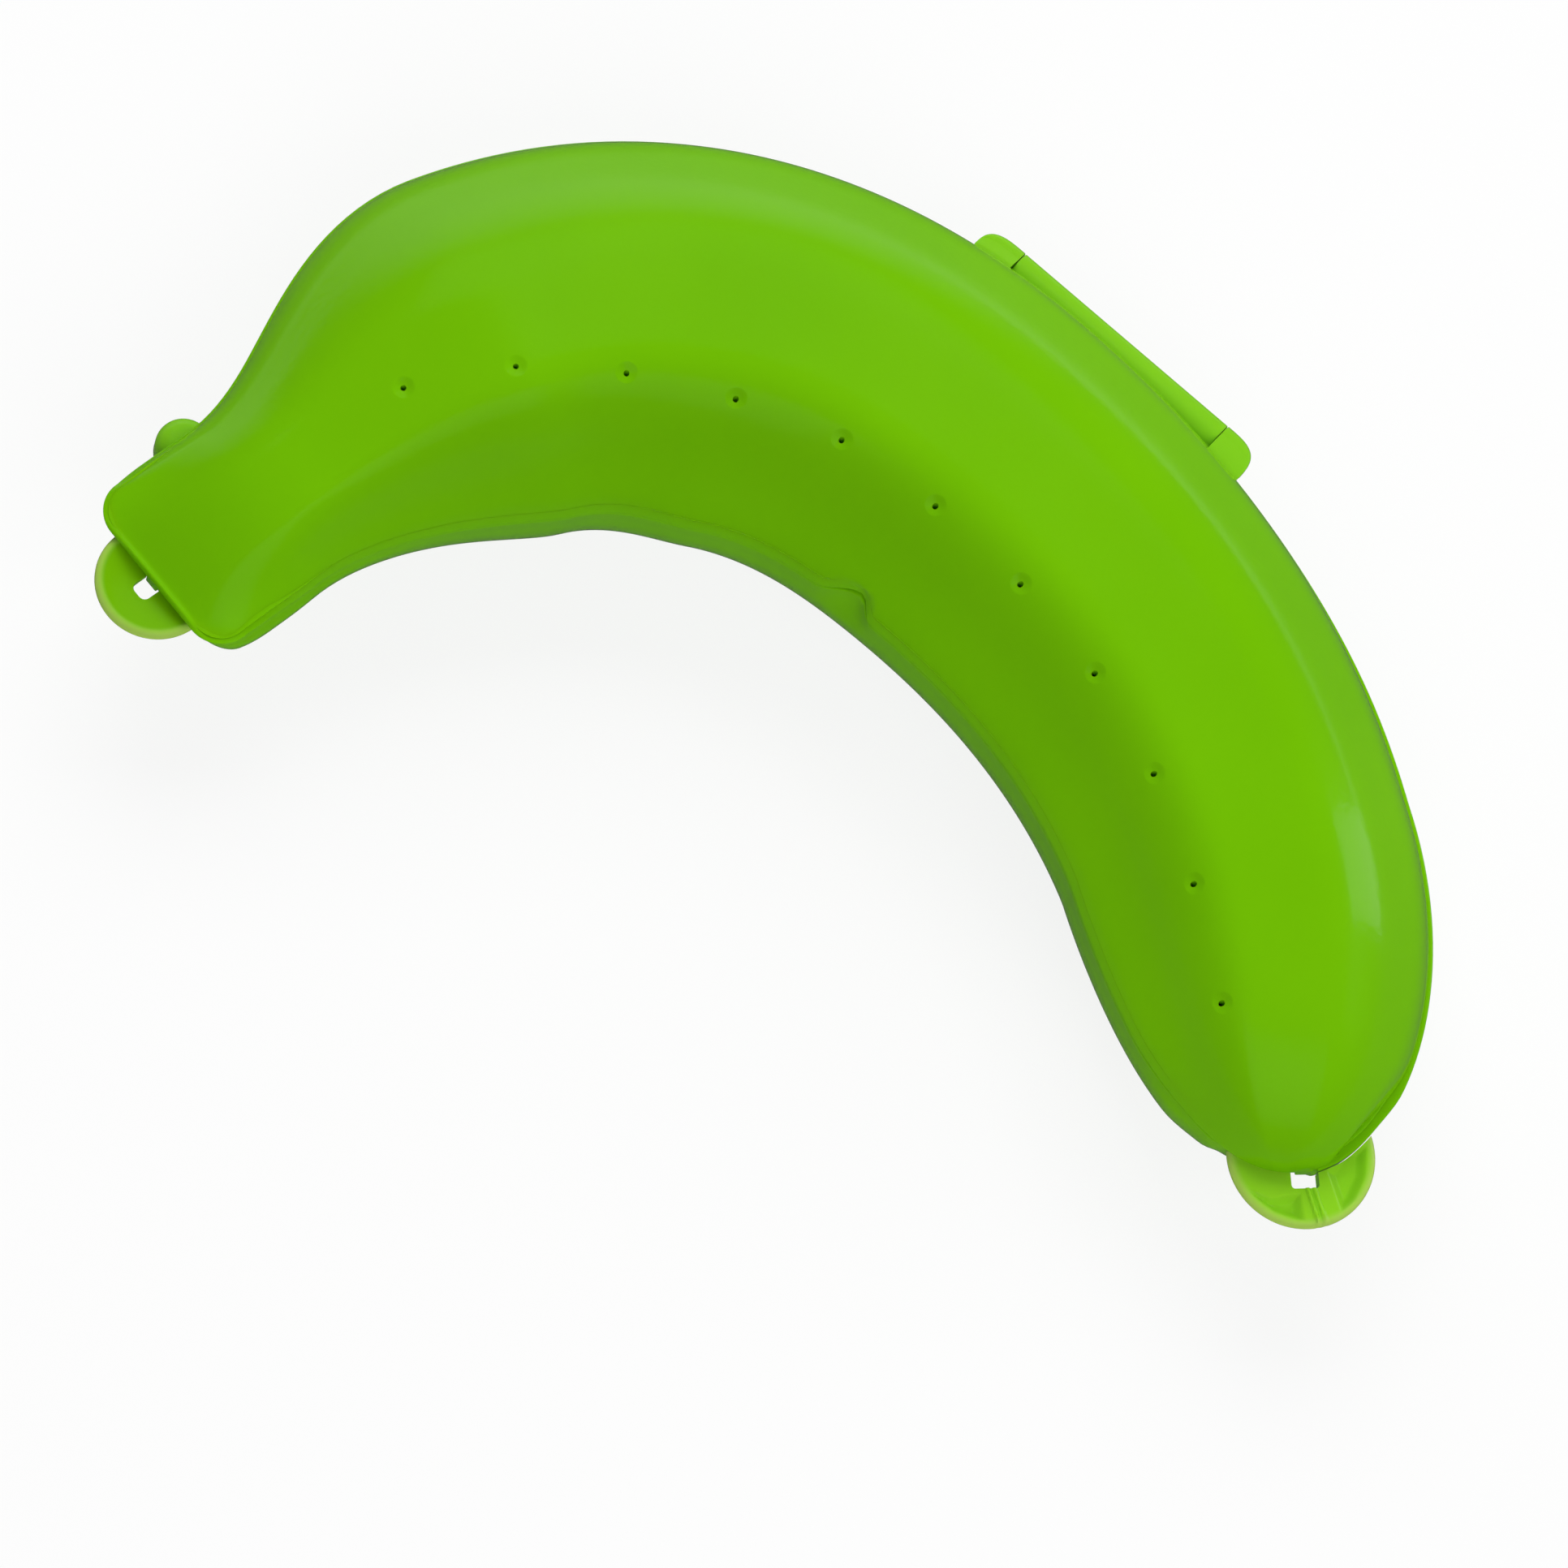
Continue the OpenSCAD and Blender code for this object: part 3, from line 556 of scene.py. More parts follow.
def make_lower_shell():
    loops = corner_arc(LOWER_EDGE, -RIM_Z - LOWER_EDGE, LOWER_EDGE, 0, 90, 5)[1:]
    rim_loops = len(loops) + 1
    loops += [(TONGUE_OUTER, -RIM_Z)]
    loops += corner_arc(TONGUE_OUTER + TONGUE_EDGE, -TONGUE_EDGE, TONGUE_EDGE, 0, 90, 3)
    loops += corner_arc(WALL - TONGUE_EDGE, -TONGUE_EDGE, TONGUE_EDGE, 90, 180, 3)
    last = len(loops) + 1
    shell = new_grid("lower_shell_body", LOWER_ROWS, LOWER_COLUMNS)
    add_rim_and_lining(shell, LOWER_ROWS, LOWER_COLUMNS, last)
    flat = points_of(shell)
    u, v, layer = (flat[:, 0] + 1) / 2, flat[:, 1], np.rint(flat[:, 2]).astype(int)

    def placed(u, v, inset, share, out_share, at_rim):
        """Plan points and places along of a loop or skin that follows the overhang by a share."""
        s = lower_station(u, inset)[0]
        inset = inset - out_share * overhang(s, v, share, at_rim)
        s, rise = lower_station(u, inset)
        push = notch_push(s, v, LOWER_NOTCH)
        x, y = plan(s + end_pull(s, LOWER_END_PULL), share * (half_width(s, inset, v) - push))
        return s, rise, x, y

    share, depth = lower_section(v)
    at_rim = ease(1 - (1 - np.abs(v)) / STRAIGHT_SHARE)
    s, rise, x, y = placed(u, v, 0.0, share, 1.0, at_rim)
    z = -RIM_Z - LOWER_EDGE - rise * (depth_at(s, LOWER_STEM_DEPTH, LOWER_DEPTH) - LOWER_EDGE) * depth
    z = np.maximum(z, -RIM_Z - LOWER_DEPTH + LAND_DEPTH) + notch_rise(s, v)
    at = np.stack([x, y, z], axis=-1)
    for k, (inset, z) in enumerate(loops, start=1):
        here = layer == k
        across = v[here]
        outside = 1.0 if k < rim_loops else 0.0
        share = np.clip(lower_section(across)[0], -1, 1)
        s, rise, x, y = placed(u[here], across, inset, share, outside, 1.0)
        z = z + notch_rise(s, across) + (tongue_top(s) if k > rim_loops else 0.0)
        at[here] = np.stack([x, y, z], axis=-1)
    inner = layer == last
    share, depth = lower_section(v[inner])
    s, rise, x, y = placed(u[inner], v[inner], WALL, share, 0.0, 1.0)
    z = -RIM_Z - rise * depth_at(s, LOWER_STEM_DEPTH - WALL, LOWER_DEPTH - WALL) * depth
    z = z + notch_rise(s, v[inner])
    at[inner] = np.stack([x, y, z], axis=-1)
    set_points(shell, in_frame(at[:, 0], at[:, 1], at[:, 2]))
    close_up(shell, SHELL_SMOOTH)
    return shell


# Hinge: a long barrel that runs into the lower wall, and a round knuckle of the lid at each end
WALL_SINK = 0.9
BARREL_HALF, BARREL_RISE, BARREL_BACK = 2.65, 2.1, 0.6
BARREL_FOOT = -3.6
BARREL_FROM, BARREL_SWEEP = 150.0, 225.0
ROUND_PART, FOOT_PART = 0.85, 0.15
BARREL_SOFT = 0.15
END_PART = 0.06


def make_barrel():
    """A half-round bar along the lower shell's rim, its back sunk into the wall."""
    barrel = new_grid("hinge_barrel", 66, 40)
    flat = points_of(barrel)
    u, v = (flat[:, 0] + 1) / 2, (flat[:, 1] + 1) / 2
    ends = np.clip(np.minimum(u, 1 - u) / END_PART, 0, 1) * np.pi / 2
    shrink = BARREL_SOFT * (1 - np.sin(ends))
    inward = BARREL_SOFT * (1 - np.cos(ends))
    middle = np.clip((u - END_PART) / (1 - 2 * END_PART), 0, 1)
    x = BARREL_FIRST + inward + (BARREL_LAST - BARREL_FIRST - 2 * BARREL_SOFT) * middle
    x = np.where(u > 1 - END_PART, BARREL_LAST - inward, x)
    wall = np.interp(x, rim_along, rim_out) - WALL_SINK
    angle = np.radians(BARREL_FROM - BARREL_SWEEP * np.clip(v / ROUND_PART, 0, 1))
    y = (BARREL_HALF - shrink) * np.cos(angle) - BARREL_BACK
    z = (BARREL_RISE - shrink) * np.sin(angle)
    after = np.clip((v - ROUND_PART) / FOOT_PART, 0, 1)
    y = np.where(v == 0, wall, y + (wall - y) * after)
    z = z + (BARREL_FOOT + shrink - z) * after
    set_points(barrel, from_hinge(x, y, z))
    close_up(barrel, PART_SMOOTH)
    close_up(barrel, PART_SMOOTH, fill=True)
    return barrel


KNUCKLE_RADIUS = 2.05
KNUCKLE_ROUND = 0.63
KNUCKLE_STEPS = 25
FACE_PART, FACE_SHRINK = 0.1, 0.05
WEB_SINK, WEB_OUT = 0.8, 0.75
WEB_FOOT, WEB_MIDDLE, WEB_TOP, WEB_FALL = 0.08, 0.1, 0.5, 0.12


def make_knuckle(name, start, side):
    """A round knuckle that grows out of the lid's edge over the lower rim, and closes round at its end."""
    knuckle = new_grid(name, 44, 60)
    flat = points_of(knuckle)
    u, v = (flat[:, 0] + 1) / 2, (flat[:, 1] + 1) / 2
    # The ring around: the web's top, the round of the knuckle, the web's foot
    turns = np.radians(np.linspace(90, -150, KNUCKLE_STEPS))
    foot, top = HINGE_DROP + WEB_FOOT, HINGE_DROP + WEB_TOP
    ring_at = np.concatenate([[0.0, 0.12], np.linspace(0.3, 0.8, KNUCKLE_STEPS), [0.88, 0.95, 1.0]])
    by_edge = np.concatenate([[1.0, 1.0], np.zeros(KNUCKLE_STEPS), [1.0, 1.0, 1.0]])
    round_y, round_z = KNUCKLE_RADIUS * np.cos(turns), KNUCKLE_RADIUS * np.sin(turns)
    ring_y = np.concatenate([[-WEB_SINK, WEB_OUT], round_y, [WEB_OUT, -WEB_SINK, -WEB_SINK]])
    ring_z = np.concatenate([[top, top - WEB_FALL], round_z, [foot, foot, top]])
    face = np.clip(u / FACE_PART, 0, 1) * np.pi / 2
    dome = np.clip((u - FACE_PART) / (1 - FACE_PART), 0, 1) * np.pi / 2
    along = (KNUCKLE_LEN - BARREL_SOFT) * np.sin(dome) ** KNUCKLE_ROUND
    x = start + side * (BARREL_SOFT * (1 - np.cos(face)) + along)
    edge = np.interp(x, rim_along, rim_out)
    y = np.interp(v, ring_at, by_edge) * edge + np.interp(v, ring_at, ring_y)
    z = np.interp(v, ring_at, ring_z)
    size = np.abs(np.cos(dome)) ** KNUCKLE_ROUND * (1 - FACE_SHRINK * (1 - np.sin(face)))
    y = edge + WEB_OUT + (y - edge - WEB_OUT) * size
    z = foot + WEB_MIDDLE + (z - foot - WEB_MIDDLE) * size
    set_points(knuckle, from_hinge(x, y, z))
    close_up(knuckle, PART_SMOOTH)
    close_up(knuckle, PART_SMOOTH, fill=True)
    return knuckle


LUG_SOFT = 2.4


def make_lug():
    """A small round knob below the rim, beside the stem."""
    x, y = plan(np.array(LUG_AT), half_width(np.array(LUG_AT), 0.0, np.array(1.0)))
    bpy.ops.object.select_all(action="DESELECT")
    bpy.ops.mesh.primitive_cylinder_add(
        vertices=72, radius=LUG_RADIUS * MM, depth=LUG_HEIGHT * MM,
        location=in_frame(x, y, np.array(-LUG_DROP - LUG_HEIGHT / 2)),
    )
    lug = newest()
    lug.name = "stem_lug"
    settle(lug)
    soften(lug, LUG_SOFT, 10)
    close_up(lug, LUG_SMOOTH)
    return lug


# Latch tabs, in the frame of one end: X outwards from the lid's edge, Y to the left of it, Z up
def from_end(origin, turn, x, y, z):
    c, s = math.cos(turn), math.sin(turn)
    return in_frame(origin[0] + x * c - y * s, origin[1] + x * s + y * c, z)


def rounded_disc(name, radius, rings, spokes, top, edge):
    """A round plate as a polar grid: its top height comes from a function of place, its edge is rounded."""
    disc = new_grid(name, rings, spokes)
    flat = points_of(disc)
    u, v = (flat[:, 0] + 1) / 2, flat[:, 1] * np.pi
    top_share, edge_share = 0.62, 0.14
    inner = radius - edge
    r_top = inner * np.clip(u / top_share, 0, 1)
    edge_angle = np.pi * np.clip((u - top_share) / edge_share, 0, 1) - np.pi / 2
    under = np.clip((u - top_share - edge_share) / (1 - top_share - edge_share), 0, 1)
    on_top, on_edge = u <= top_share, (u > top_share) & (u <= top_share + edge_share)
    r = np.where(on_top, r_top, np.where(on_edge, inner + edge * np.cos(edge_angle), inner * (1 - under)))
    x, y = r * np.cos(v), r * np.sin(v)
    height = top(x, y)
    rim_height = top(inner * np.cos(v), inner * np.sin(v))
    foot = -TAB_DROP - TAB_THICKNESS
    half = (rim_height - foot) / 2
    z = np.where(on_top, height, np.where(on_edge, foot + half - half * np.sin(edge_angle), foot))
    return disc, x, y, z


CUTTER_HEIGHT = 8.0


def make_slot_cutter(x0, x1, y0, y1, corner):
    """A block with rounded upright corners, in the frame of one end."""
    bpy.ops.object.select_all(action="DESELECT")
    bpy.ops.mesh.primitive_cube_add(size=1)
    block = newest()
    alone(block)
    block.scale = ((x1 - x0) * MM, (y1 - y0) * MM, CUTTER_HEIGHT * MM)
    settle(block)
    bpy.ops.object.mode_set(mode="EDIT")
    bpy.ops.mesh.select_mode(type="EDGE")
    bpy.ops.mesh.select_all(action="DESELECT")
    bpy.ops.object.mode_set(mode="OBJECT")
    for edge in block.data.edges:
        a, b = (block.data.vertices[k].co for k in edge.vertices)
        edge.select = abs(a.z - b.z) > CUTTER_HEIGHT / 2 * MM
    bpy.ops.object.mode_set(mode="EDIT")
    bpy.ops.mesh.bevel(offset=corner * MM, segments=8)
    bpy.ops.object.mode_set(mode="OBJECT")
    co = points_of(block) / MM
    return block, co[:, 0] + (x0 + x1) / 2, co[:, 1] + (y0 + y1) / 2, co[:, 2]


STEM_TAB_BACK = -0.85
STEM_BOWL, STEM_TAB_EDGE, BOWL_POWER = 1.0, 0.9, 0.8
# Cutters for the tab's straight back and its slot: ends outwards, ends to the left, corner radius
STEM_CUTTERS = ((STEM_TAB_BACK - 20, STEM_TAB_BACK, -15, 15, 0.3), (-2.6, 1.95, -1.45, 1.35, 0.95))


def make_stem_tab():
    """The small tab: a shallow bowl with a rounded rim, cut straight along the stem's end."""

    def bowl(x, y):
        away = np.minimum(np.hypot(x, y) / (STEM_TAB_RADIUS - STEM_TAB_EDGE), 1)
        return -TAB_DROP - STEM_BOWL * (1 - away**2) ** BOWL_POWER

    tab, x, y, z = rounded_disc("stem_tab_dish", STEM_TAB_RADIUS, 60, 110, bowl, STEM_TAB_EDGE)
    set_points(tab, from_end(STEM_END, stem_turn, x - STEM_TAB_INSET, y, z))
    close_up(tab, PART_SMOOTH)
    for cutter in STEM_CUTTERS:
        block, x, y, z = make_slot_cutter(*cutter)
        set_points(block, from_end(STEM_END, stem_turn, x, y, z))
        cut_out(tab, block)
    close_up(tab, PART_SMOOTH)
    return tab


def inside_polygon(x, y, corners):
    """Distance in from a polygon's outline, below zero outside it."""
    corners = np.array(corners)
    nearest = np.full(x.shape, np.inf)
    inside = np.zeros(x.shape, bool)
    for a, b in zip(corners, np.roll(corners, -1, axis=0)):
        d = b - a
        t = np.clip(((x - a[0]) * d[0] + (y - a[1]) * d[1]) / (d @ d), 0, 1)
        nearest = np.minimum(nearest, np.hypot(x - a[0] - t * d[0], y - a[1] - t * d[1]))
        crosses = (a[1] > y) != (b[1] > y)
        slope_x = a[0] + (y - a[1]) * d[0] / np.where(d[1] == 0, 1e-9, d[1])
        inside ^= crosses & (x < slope_x)
    return np.where(inside, nearest, -nearest)


# Fields of the tip tab, measured from its centre: X outwards, Y to the left seen from the stem
OUTER_FIELD = [(2.7, 3.2), (8.8, 4.7), (7.0, 6.9), (3.6, 8.8), (-1.0, 9.4), (-1.0, 6.0)]
INNER_FIELD = [(5.5, -0.7), (6.1, -5.2), (4.4, -8.5), (6.0, -7.6), (8.3, -5.0), (9.6, -1.8), (9.7, -0.4)]
FIELD_DEPTH, FIELD_SOFT, FIELD_GROWTH = 1.2, 0.8, 0.1
TIP_RIBS = [((4.9, 0.2), (10.2, 1.45)), ((4.9, 1.15), (10.2, 2.5))]
RIB_HALF, RIB_RISE, RIB_FADE = 0.26, 0.4, 1.5
TIP_TAB_EDGE = 0.8
TIP_SLOT = (-1.2, 2.2, -1.95, 2.0, 0.5)
# The tab's root lies inside the lid's edge on the right and outside it on the left, with a step between
ROOT_RIGHT, ROOT_LEFT, ROOT_STEP_AT, ROOT_STEP_RUN = 0.35, 0.07, 0.7, 1.2
BODY_FOOT, BODY_HEIGHT = -6.0, 12.0


def make_tip_tab():
    """The large tab: a plate with two sunk fields and a pair of thin ribs between them."""

    def fields(x, y):
        z = np.full(x.shape, -TAB_DROP)
        for field in (OUTER_FIELD, INNER_FIELD):
            z = z - FIELD_DEPTH * ease((inside_polygon(x, y, field) + FIELD_GROWTH) / (2 * FIELD_SOFT))
        for a, b in TIP_RIBS:
            a, d = np.array(a), np.array(b) - np.array(a)
            t = np.clip(((x - a[0]) * d[0] + (y - a[1]) * d[1]) / (d @ d), 0, 1)
            away = np.hypot(x - a[0] - t * d[0], y - a[1] - t * d[1])
            z = z + RIB_RISE * ease(RIB_FADE - away / RIB_HALF)
        return z

    tab, x, y, z = rounded_disc("tip_tab_plate", TIP_TAB_RADIUS, 130, 260, fields, TIP_TAB_EDGE)
    set_points(tab, from_end(tip_edge, tip_turn, x - TIP_TAB_INSET, y, z))
    close_up(tab, PART_SMOOTH)
    around = 240
    bpy.ops.object.select_all(action="DESELECT")
    bpy.ops.mesh.primitive_circle_add(vertices=around, radius=1, fill_type="NGON")
    body = newest()
    turn = np.linspace(-1, 1, around, endpoint=False)
    s = TIP_START + TIP_ROUND * np.cos(turn * np.pi / 2)
    left = from_tip(*plan(s, np.sign(turn) * half_width(s, 0.0, turn)))[1]
    root = TAB_RECESS - ROOT_RIGHT - (TAB_RECESS + ROOT_LEFT) * ease((left - ROOT_STEP_AT) / ROOT_STEP_RUN)
    s = TIP_START + (TIP_ROUND - root) * np.cos(turn * np.pi / 2)
    x, y = plan(s, np.sign(turn) * half_width(s, root, turn))
    set_points(body, in_frame(x, y, np.full_like(x, BODY_FOOT)))
    alone(body)
    bpy.ops.object.mode_set(mode="EDIT")
    bpy.ops.mesh.select_all(action="SELECT")
    bpy.ops.mesh.extrude_region_move(TRANSFORM_OT_translate={"value": (0, 0, BODY_HEIGHT * MM)})
    bpy.ops.object.mode_set(mode="OBJECT")
    close_up(body, CUTTER_SMOOTH)
    cut_out(tab, body)
    block, x, y, z = make_slot_cutter(*TIP_SLOT)
    set_points(block, from_end(tip_edge, tip_turn, x, y, z))
    cut_out(tab, block)
    close_up(tab, PART_SMOOTH)
    return tab


CLAW_SOFT = 0.2
STEM_CLAW_BACK, TIP_CLAW_BACK = 0.85, 0.5


def make_claw(name, origin, turn, back):
    """The thin claw under the lid's edge, down into a tab's slot."""
    bpy.ops.object.select_all(action="DESELECT")
    bpy.ops.mesh.primitive_cube_add(size=1)
    claw = newest()
    claw.name = name
    co = points_of(claw)
    x = (co[:, 0] + 0.5) * CLAW_THICKNESS - back
    z = np.where(co[:, 2] > 0, CLAW_TOP, -CLAW_REACH)
    set_points(claw, from_end(origin, turn, x, co[:, 1] * CLAW_WIDTH, z))
    soften(claw, CLAW_SOFT, 3)
    close_up(claw, SHELL_SMOOTH)
    return claw


lid_pieces = [
    make_lid_shell(),
    make_knuckle("lid_knuckle_stem_side", BARREL_FIRST - KNUCKLE_GAP, -1),
    make_knuckle("lid_knuckle_tip_side", BARREL_LAST + KNUCKLE_GAP, 1),
    make_claw("lid_claw_stem", STEM_END, stem_turn, STEM_CLAW_BACK),
    make_claw("lid_claw_tip", tip_edge, tip_turn, TIP_CLAW_BACK),
]
lower_pieces = [make_lower_shell(), make_barrel(), make_lug()]
stem_tab = make_stem_tab()
tip_tab = make_tip_tab()
for body, pieces in (
    ("lid", lid_pieces),
    ("lower", lower_pieces),
    ("stem_tab", [stem_tab]),
    ("tip_tab", [tip_tab]),
):
    for piece in pieces:
        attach(piece, body)
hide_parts("upper_shell")
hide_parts("lower_shell")
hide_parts("stem_latch_tab")
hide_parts("tip_latch_tab")


# Materials
def make_case_green(name, dark, light, middle=None, radius=1.0):
    """Glossy lime plastic with slight unevenness of colour and fine orange peel; a tab's rim gets painted
    light, a paler colour standing in for light shining through the thin edge.
    """
    material = bpy.data.materials.new(name)
    material.use_nodes = True
    tree = material.node_tree
    shader = tree.nodes["Principled BSDF"]
    shader.inputs["IOR"].default_value = 1.3
    shader.inputs["Subsurface Weight"].default_value = 0.15
    shader.inputs["Subsurface Radius"].default_value = (1.0, 1.2, 0.1)
    shader.inputs["Subsurface Scale"].default_value = 0.0012
    place = tree.nodes.new("ShaderNodeTexCoord")
    cloud = tree.nodes.new("ShaderNodeTexNoise")
    cloud.inputs["Scale"].default_value = 22.0
    cloud.inputs["Detail"].default_value = 3.0
    tree.links.new(place.outputs["Object"], cloud.inputs["Vector"])
    tint = tree.nodes.new("ShaderNodeValToRGB")
    tint.color_ramp.elements[0].position = 0.3
    tint.color_ramp.elements[0].color = dark
    tint.color_ramp.elements[1].position = 0.7
    tint.color_ramp.elements[1].color = light
    tree.links.new(cloud.outputs["Fac"], tint.inputs["Fac"])
    # Painted light: with a middle given, the colour turns paler towards the rim, standing in for light
    # shining through the thin edge.
    if middle is None:
        tree.links.new(tint.outputs["Color"], shader.inputs["Base Color"])
    else:
        away = tree.nodes.new("ShaderNodeVectorMath")
        away.operation = "DISTANCE"
        away.inputs[1].default_value = tuple(middle)
        tree.links.new(place.outputs["Object"], away.inputs[0])
        painted_light_share = tree.nodes.new("ShaderNodeMapRange")
        painted_light_share.interpolation_type = "SMOOTHSTEP"
        painted_light_share.inputs["From Min"].default_value = radius - TAB_RIM_PAINTED_LIGHT_WIDTH * MM
        painted_light_share.inputs["From Max"].default_value = radius
        tree.links.new(away.outputs["Value"], painted_light_share.inputs["Value"])
        painted_rim_light = tree.nodes.new("ShaderNodeMix")
        painted_rim_light.data_type = "RGBA"
        painted_rim_light.inputs["B"].default_value = TAB_RIM_PAINTED_LIGHT_COLOUR
        tree.links.new(painted_light_share.outputs["Result"], painted_rim_light.inputs["Factor"])
        tree.links.new(tint.outputs["Color"], painted_rim_light.inputs["A"])
        tree.links.new(painted_rim_light.outputs["Result"], shader.inputs["Base Color"])
    sheen_noise = tree.nodes.new("ShaderNodeTexNoise")
    sheen_noise.inputs["Scale"].default_value = 60.0
    sheen_noise.inputs["Detail"].default_value = 2.0
    tree.links.new(place.outputs["Object"], sheen_noise.inputs["Vector"])
    gloss = tree.nodes.new("ShaderNodeMapRange")
    gloss.inputs["To Min"].default_value = 0.11
    gloss.inputs["To Max"].default_value = 0.17
    tree.links.new(sheen_noise.outputs["Fac"], gloss.inputs["Value"])
    tree.links.new(gloss.outputs["Result"], shader.inputs["Roughness"])
    peel = tree.nodes.new("ShaderNodeTexNoise")
    peel.inputs["Scale"].default_value = 900.0
    peel.inputs["Detail"].default_value = 1.5
    tree.links.new(place.outputs["Object"], peel.inputs["Vector"])
    bump = tree.nodes.new("ShaderNodeBump")
    bump.inputs["Strength"].default_value = 0.06
    bump.inputs["Distance"].default_value = 0.0004
    tree.links.new(peel.outputs["Fac"], bump.inputs["Height"])
    tree.links.new(bump.outputs["Normal"], shader.inputs["Normal"])
    return material


# Painted light on the tabs' rims: the paler colour, and the width in millimetres of the band it covers,
# stand in for light shining through the thin edge.
TAB_RIM_PAINTED_LIGHT_COLOUR, TAB_RIM_PAINTED_LIGHT_WIDTH = (0.40, 0.62, 0.10, 1), 1.5
case_green = make_case_green("case_green", (0.150, 0.460, 0.0006, 1), (0.165, 0.490, 0.001, 1))
# Middles of the tabs, from which the painted rim light is measured.
stem_tab_middle = from_end(STEM_END, stem_turn, np.array(-STEM_TAB_INSET), np.array(0.0), np.array(-1.0))
tip_tab_middle = from_end(tip_edge, tip_turn, np.array(-TIP_TAB_INSET), np.array(0.0), np.array(-1.0))
stem_tab_green = make_case_green(
    "stem_tab_green", (0.150, 0.430, 0.0006, 1), (0.170, 0.450, 0.001, 1),
    stem_tab_middle, STEM_TAB_RADIUS * MM,
)
# The tip tab's green is painted lighter than the case's, making up for the body's shadow over it; its rim
# also gets the painted light.
tip_tab_painted_light_green = make_case_green(
    "tip_tab_painted_light_green", (0.250, 0.620, 0.014, 1), (0.270, 0.640, 0.018, 1),
    tip_tab_middle, TIP_TAB_RADIUS * MM,
)
# Barrel, knuckles and lug get a lighter copy of the same green: painted light, standing in for light shining
# through their thin plastic.
thin_parts_painted_light_green = make_case_green("thin_parts_painted_light_green", (0.190, 0.540, 0.010, 1), (0.210, 0.560, 0.014, 1))
for pieces, material in (
    (lid_pieces + lower_pieces + list(frame["nodes"].values()), case_green),
    (lid_pieces[1:3] + lower_pieces[1:], thin_parts_painted_light_green),
    ([stem_tab], stem_tab_green),
    ([tip_tab], tip_tab_painted_light_green),
):
    for piece in pieces:
        piece.data.materials.clear()
        piece.data.materials.append(material)


# Studio: a white floor in a dim room with a pale wall on the far side
FLOOR_SEEN = 0.85
MIRRORED_NEAR, MIRRORED_FAR = 0.1, 0.7
FAR_FROM, FAR_TO = 0.1, 0.4
WALL_TOWARDS, WALL_HEIGHTS = (0.74, 0.96), (0.75, 0.1)
ROOM_BRIGHTNESS, WALL_BRIGHTNESS = 0.06, 0.75


def make_floor():
    """A floor that looks white, with shadows; mirror images show it dim near the case and paler beyond."""
    bpy.ops.object.select_all(action="DESELECT")
    bpy.ops.mesh.primitive_plane_add(size=8.0)
    floor = newest()
    floor.name = "studio_floor"
    material = bpy.data.materials.new("studio_white")
    material.use_nodes = True
    tree = material.node_tree
    tree.nodes.remove(tree.nodes["Principled BSDF"])
    cloth = tree.nodes.new("ShaderNodeBsdfDiffuse")
    cloth.inputs["Color"].default_value = (0.85, 0.85, 0.85, 1)
    glow = tree.nodes.new("ShaderNodeEmission")
    glow.inputs["Color"].default_value = (1, 1, 1, 1)
    rays = tree.nodes.new("ShaderNodeLightPath")
    place = tree.nodes.new("ShaderNodeTexCoord")
    towards = tree.nodes.new("ShaderNodeVectorMath")
    towards.operation = "DOT_PRODUCT"
    towards.inputs[1].default_value = far_side[:]
    tree.links.new(place.outputs["Object"], towards.inputs[0])
    far_part = tree.nodes.new("ShaderNodeMapRange")
    far_part.interpolation_type = "SMOOTHSTEP"
    far_part.inputs["From Min"].default_value = FAR_FROM
    far_part.inputs["From Max"].default_value = FAR_TO
    far_part.inputs["To Min"].default_value = MIRRORED_NEAR
    far_part.inputs["To Max"].default_value = MIRRORED_FAR
    tree.links.new(towards.outputs["Value"], far_part.inputs["Value"])
    mirrored = tree.nodes.new("ShaderNodeMapRange")
    mirrored.inputs["To Min"].default_value = 1.0
    tree.links.new(rays.outputs["Is Glossy Ray"], mirrored.inputs["Value"])
    tree.links.new(far_part.outputs["Result"], mirrored.inputs["To Max"])
    tree.links.new(mirrored.outputs["Result"], glow.inputs["Strength"])
    share = rays.outputs["Is Glossy Ray"]
    for kind in ("Is Camera Ray", "Is Transmission Ray"):
        add = tree.nodes.new("ShaderNodeMath")
        add.operation = "MULTIPLY_ADD"
        add.use_clamp = True
        add.inputs[1].default_value = FLOOR_SEEN
        tree.links.new(rays.outputs[kind], add.inputs[0])
        tree.links.new(share, add.inputs[2])
        share = add.outputs[0]
    mix = tree.nodes.new("ShaderNodeMixShader")
    tree.links.new(share, mix.inputs[0])
    tree.links.new(cloth.outputs[0], mix.inputs[1])
    tree.links.new(glow.outputs[0], mix.inputs[2])
    tree.links.new(mix.outputs[0], tree.nodes["Material Output"].inputs["Surface"])
    floor.data.materials.append(material)


# Camera: above the lid, from the inner curve
CAMERA_TILT, CAMERA_ROLL = 23.0, 29.46
CAMERA_DISTANCE = 1.0
FRAME_WIDTH_AT_TARGET = 0.21754
TARGET_X, TARGET_Y = 90.8968, 46.5042
CAMERA_SHIFT_X, CAMERA_SHIFT_Y = -0.0644, -0.0932
camera_target = Vector(tuple(in_frame(STEM_END[0] + TARGET_X, STEM_END[1] + TARGET_Y, 0.0)))
tilt, roll = math.radians(CAMERA_TILT), math.radians(CAMERA_ROLL)
back = Vector((0, -math.sin(tilt), math.cos(tilt)))
rise = Vector((0, math.cos(tilt), math.sin(tilt)))
right = math.cos(roll) * Vector((1, 0, 0)) + math.sin(roll) * rise
up = -math.sin(roll) * Vector((1, 0, 0)) + math.cos(roll) * rise
camera_place = camera_target + CAMERA_DISTANCE * back
far_side = Vector((up.x, up.y, 0)).normalized()


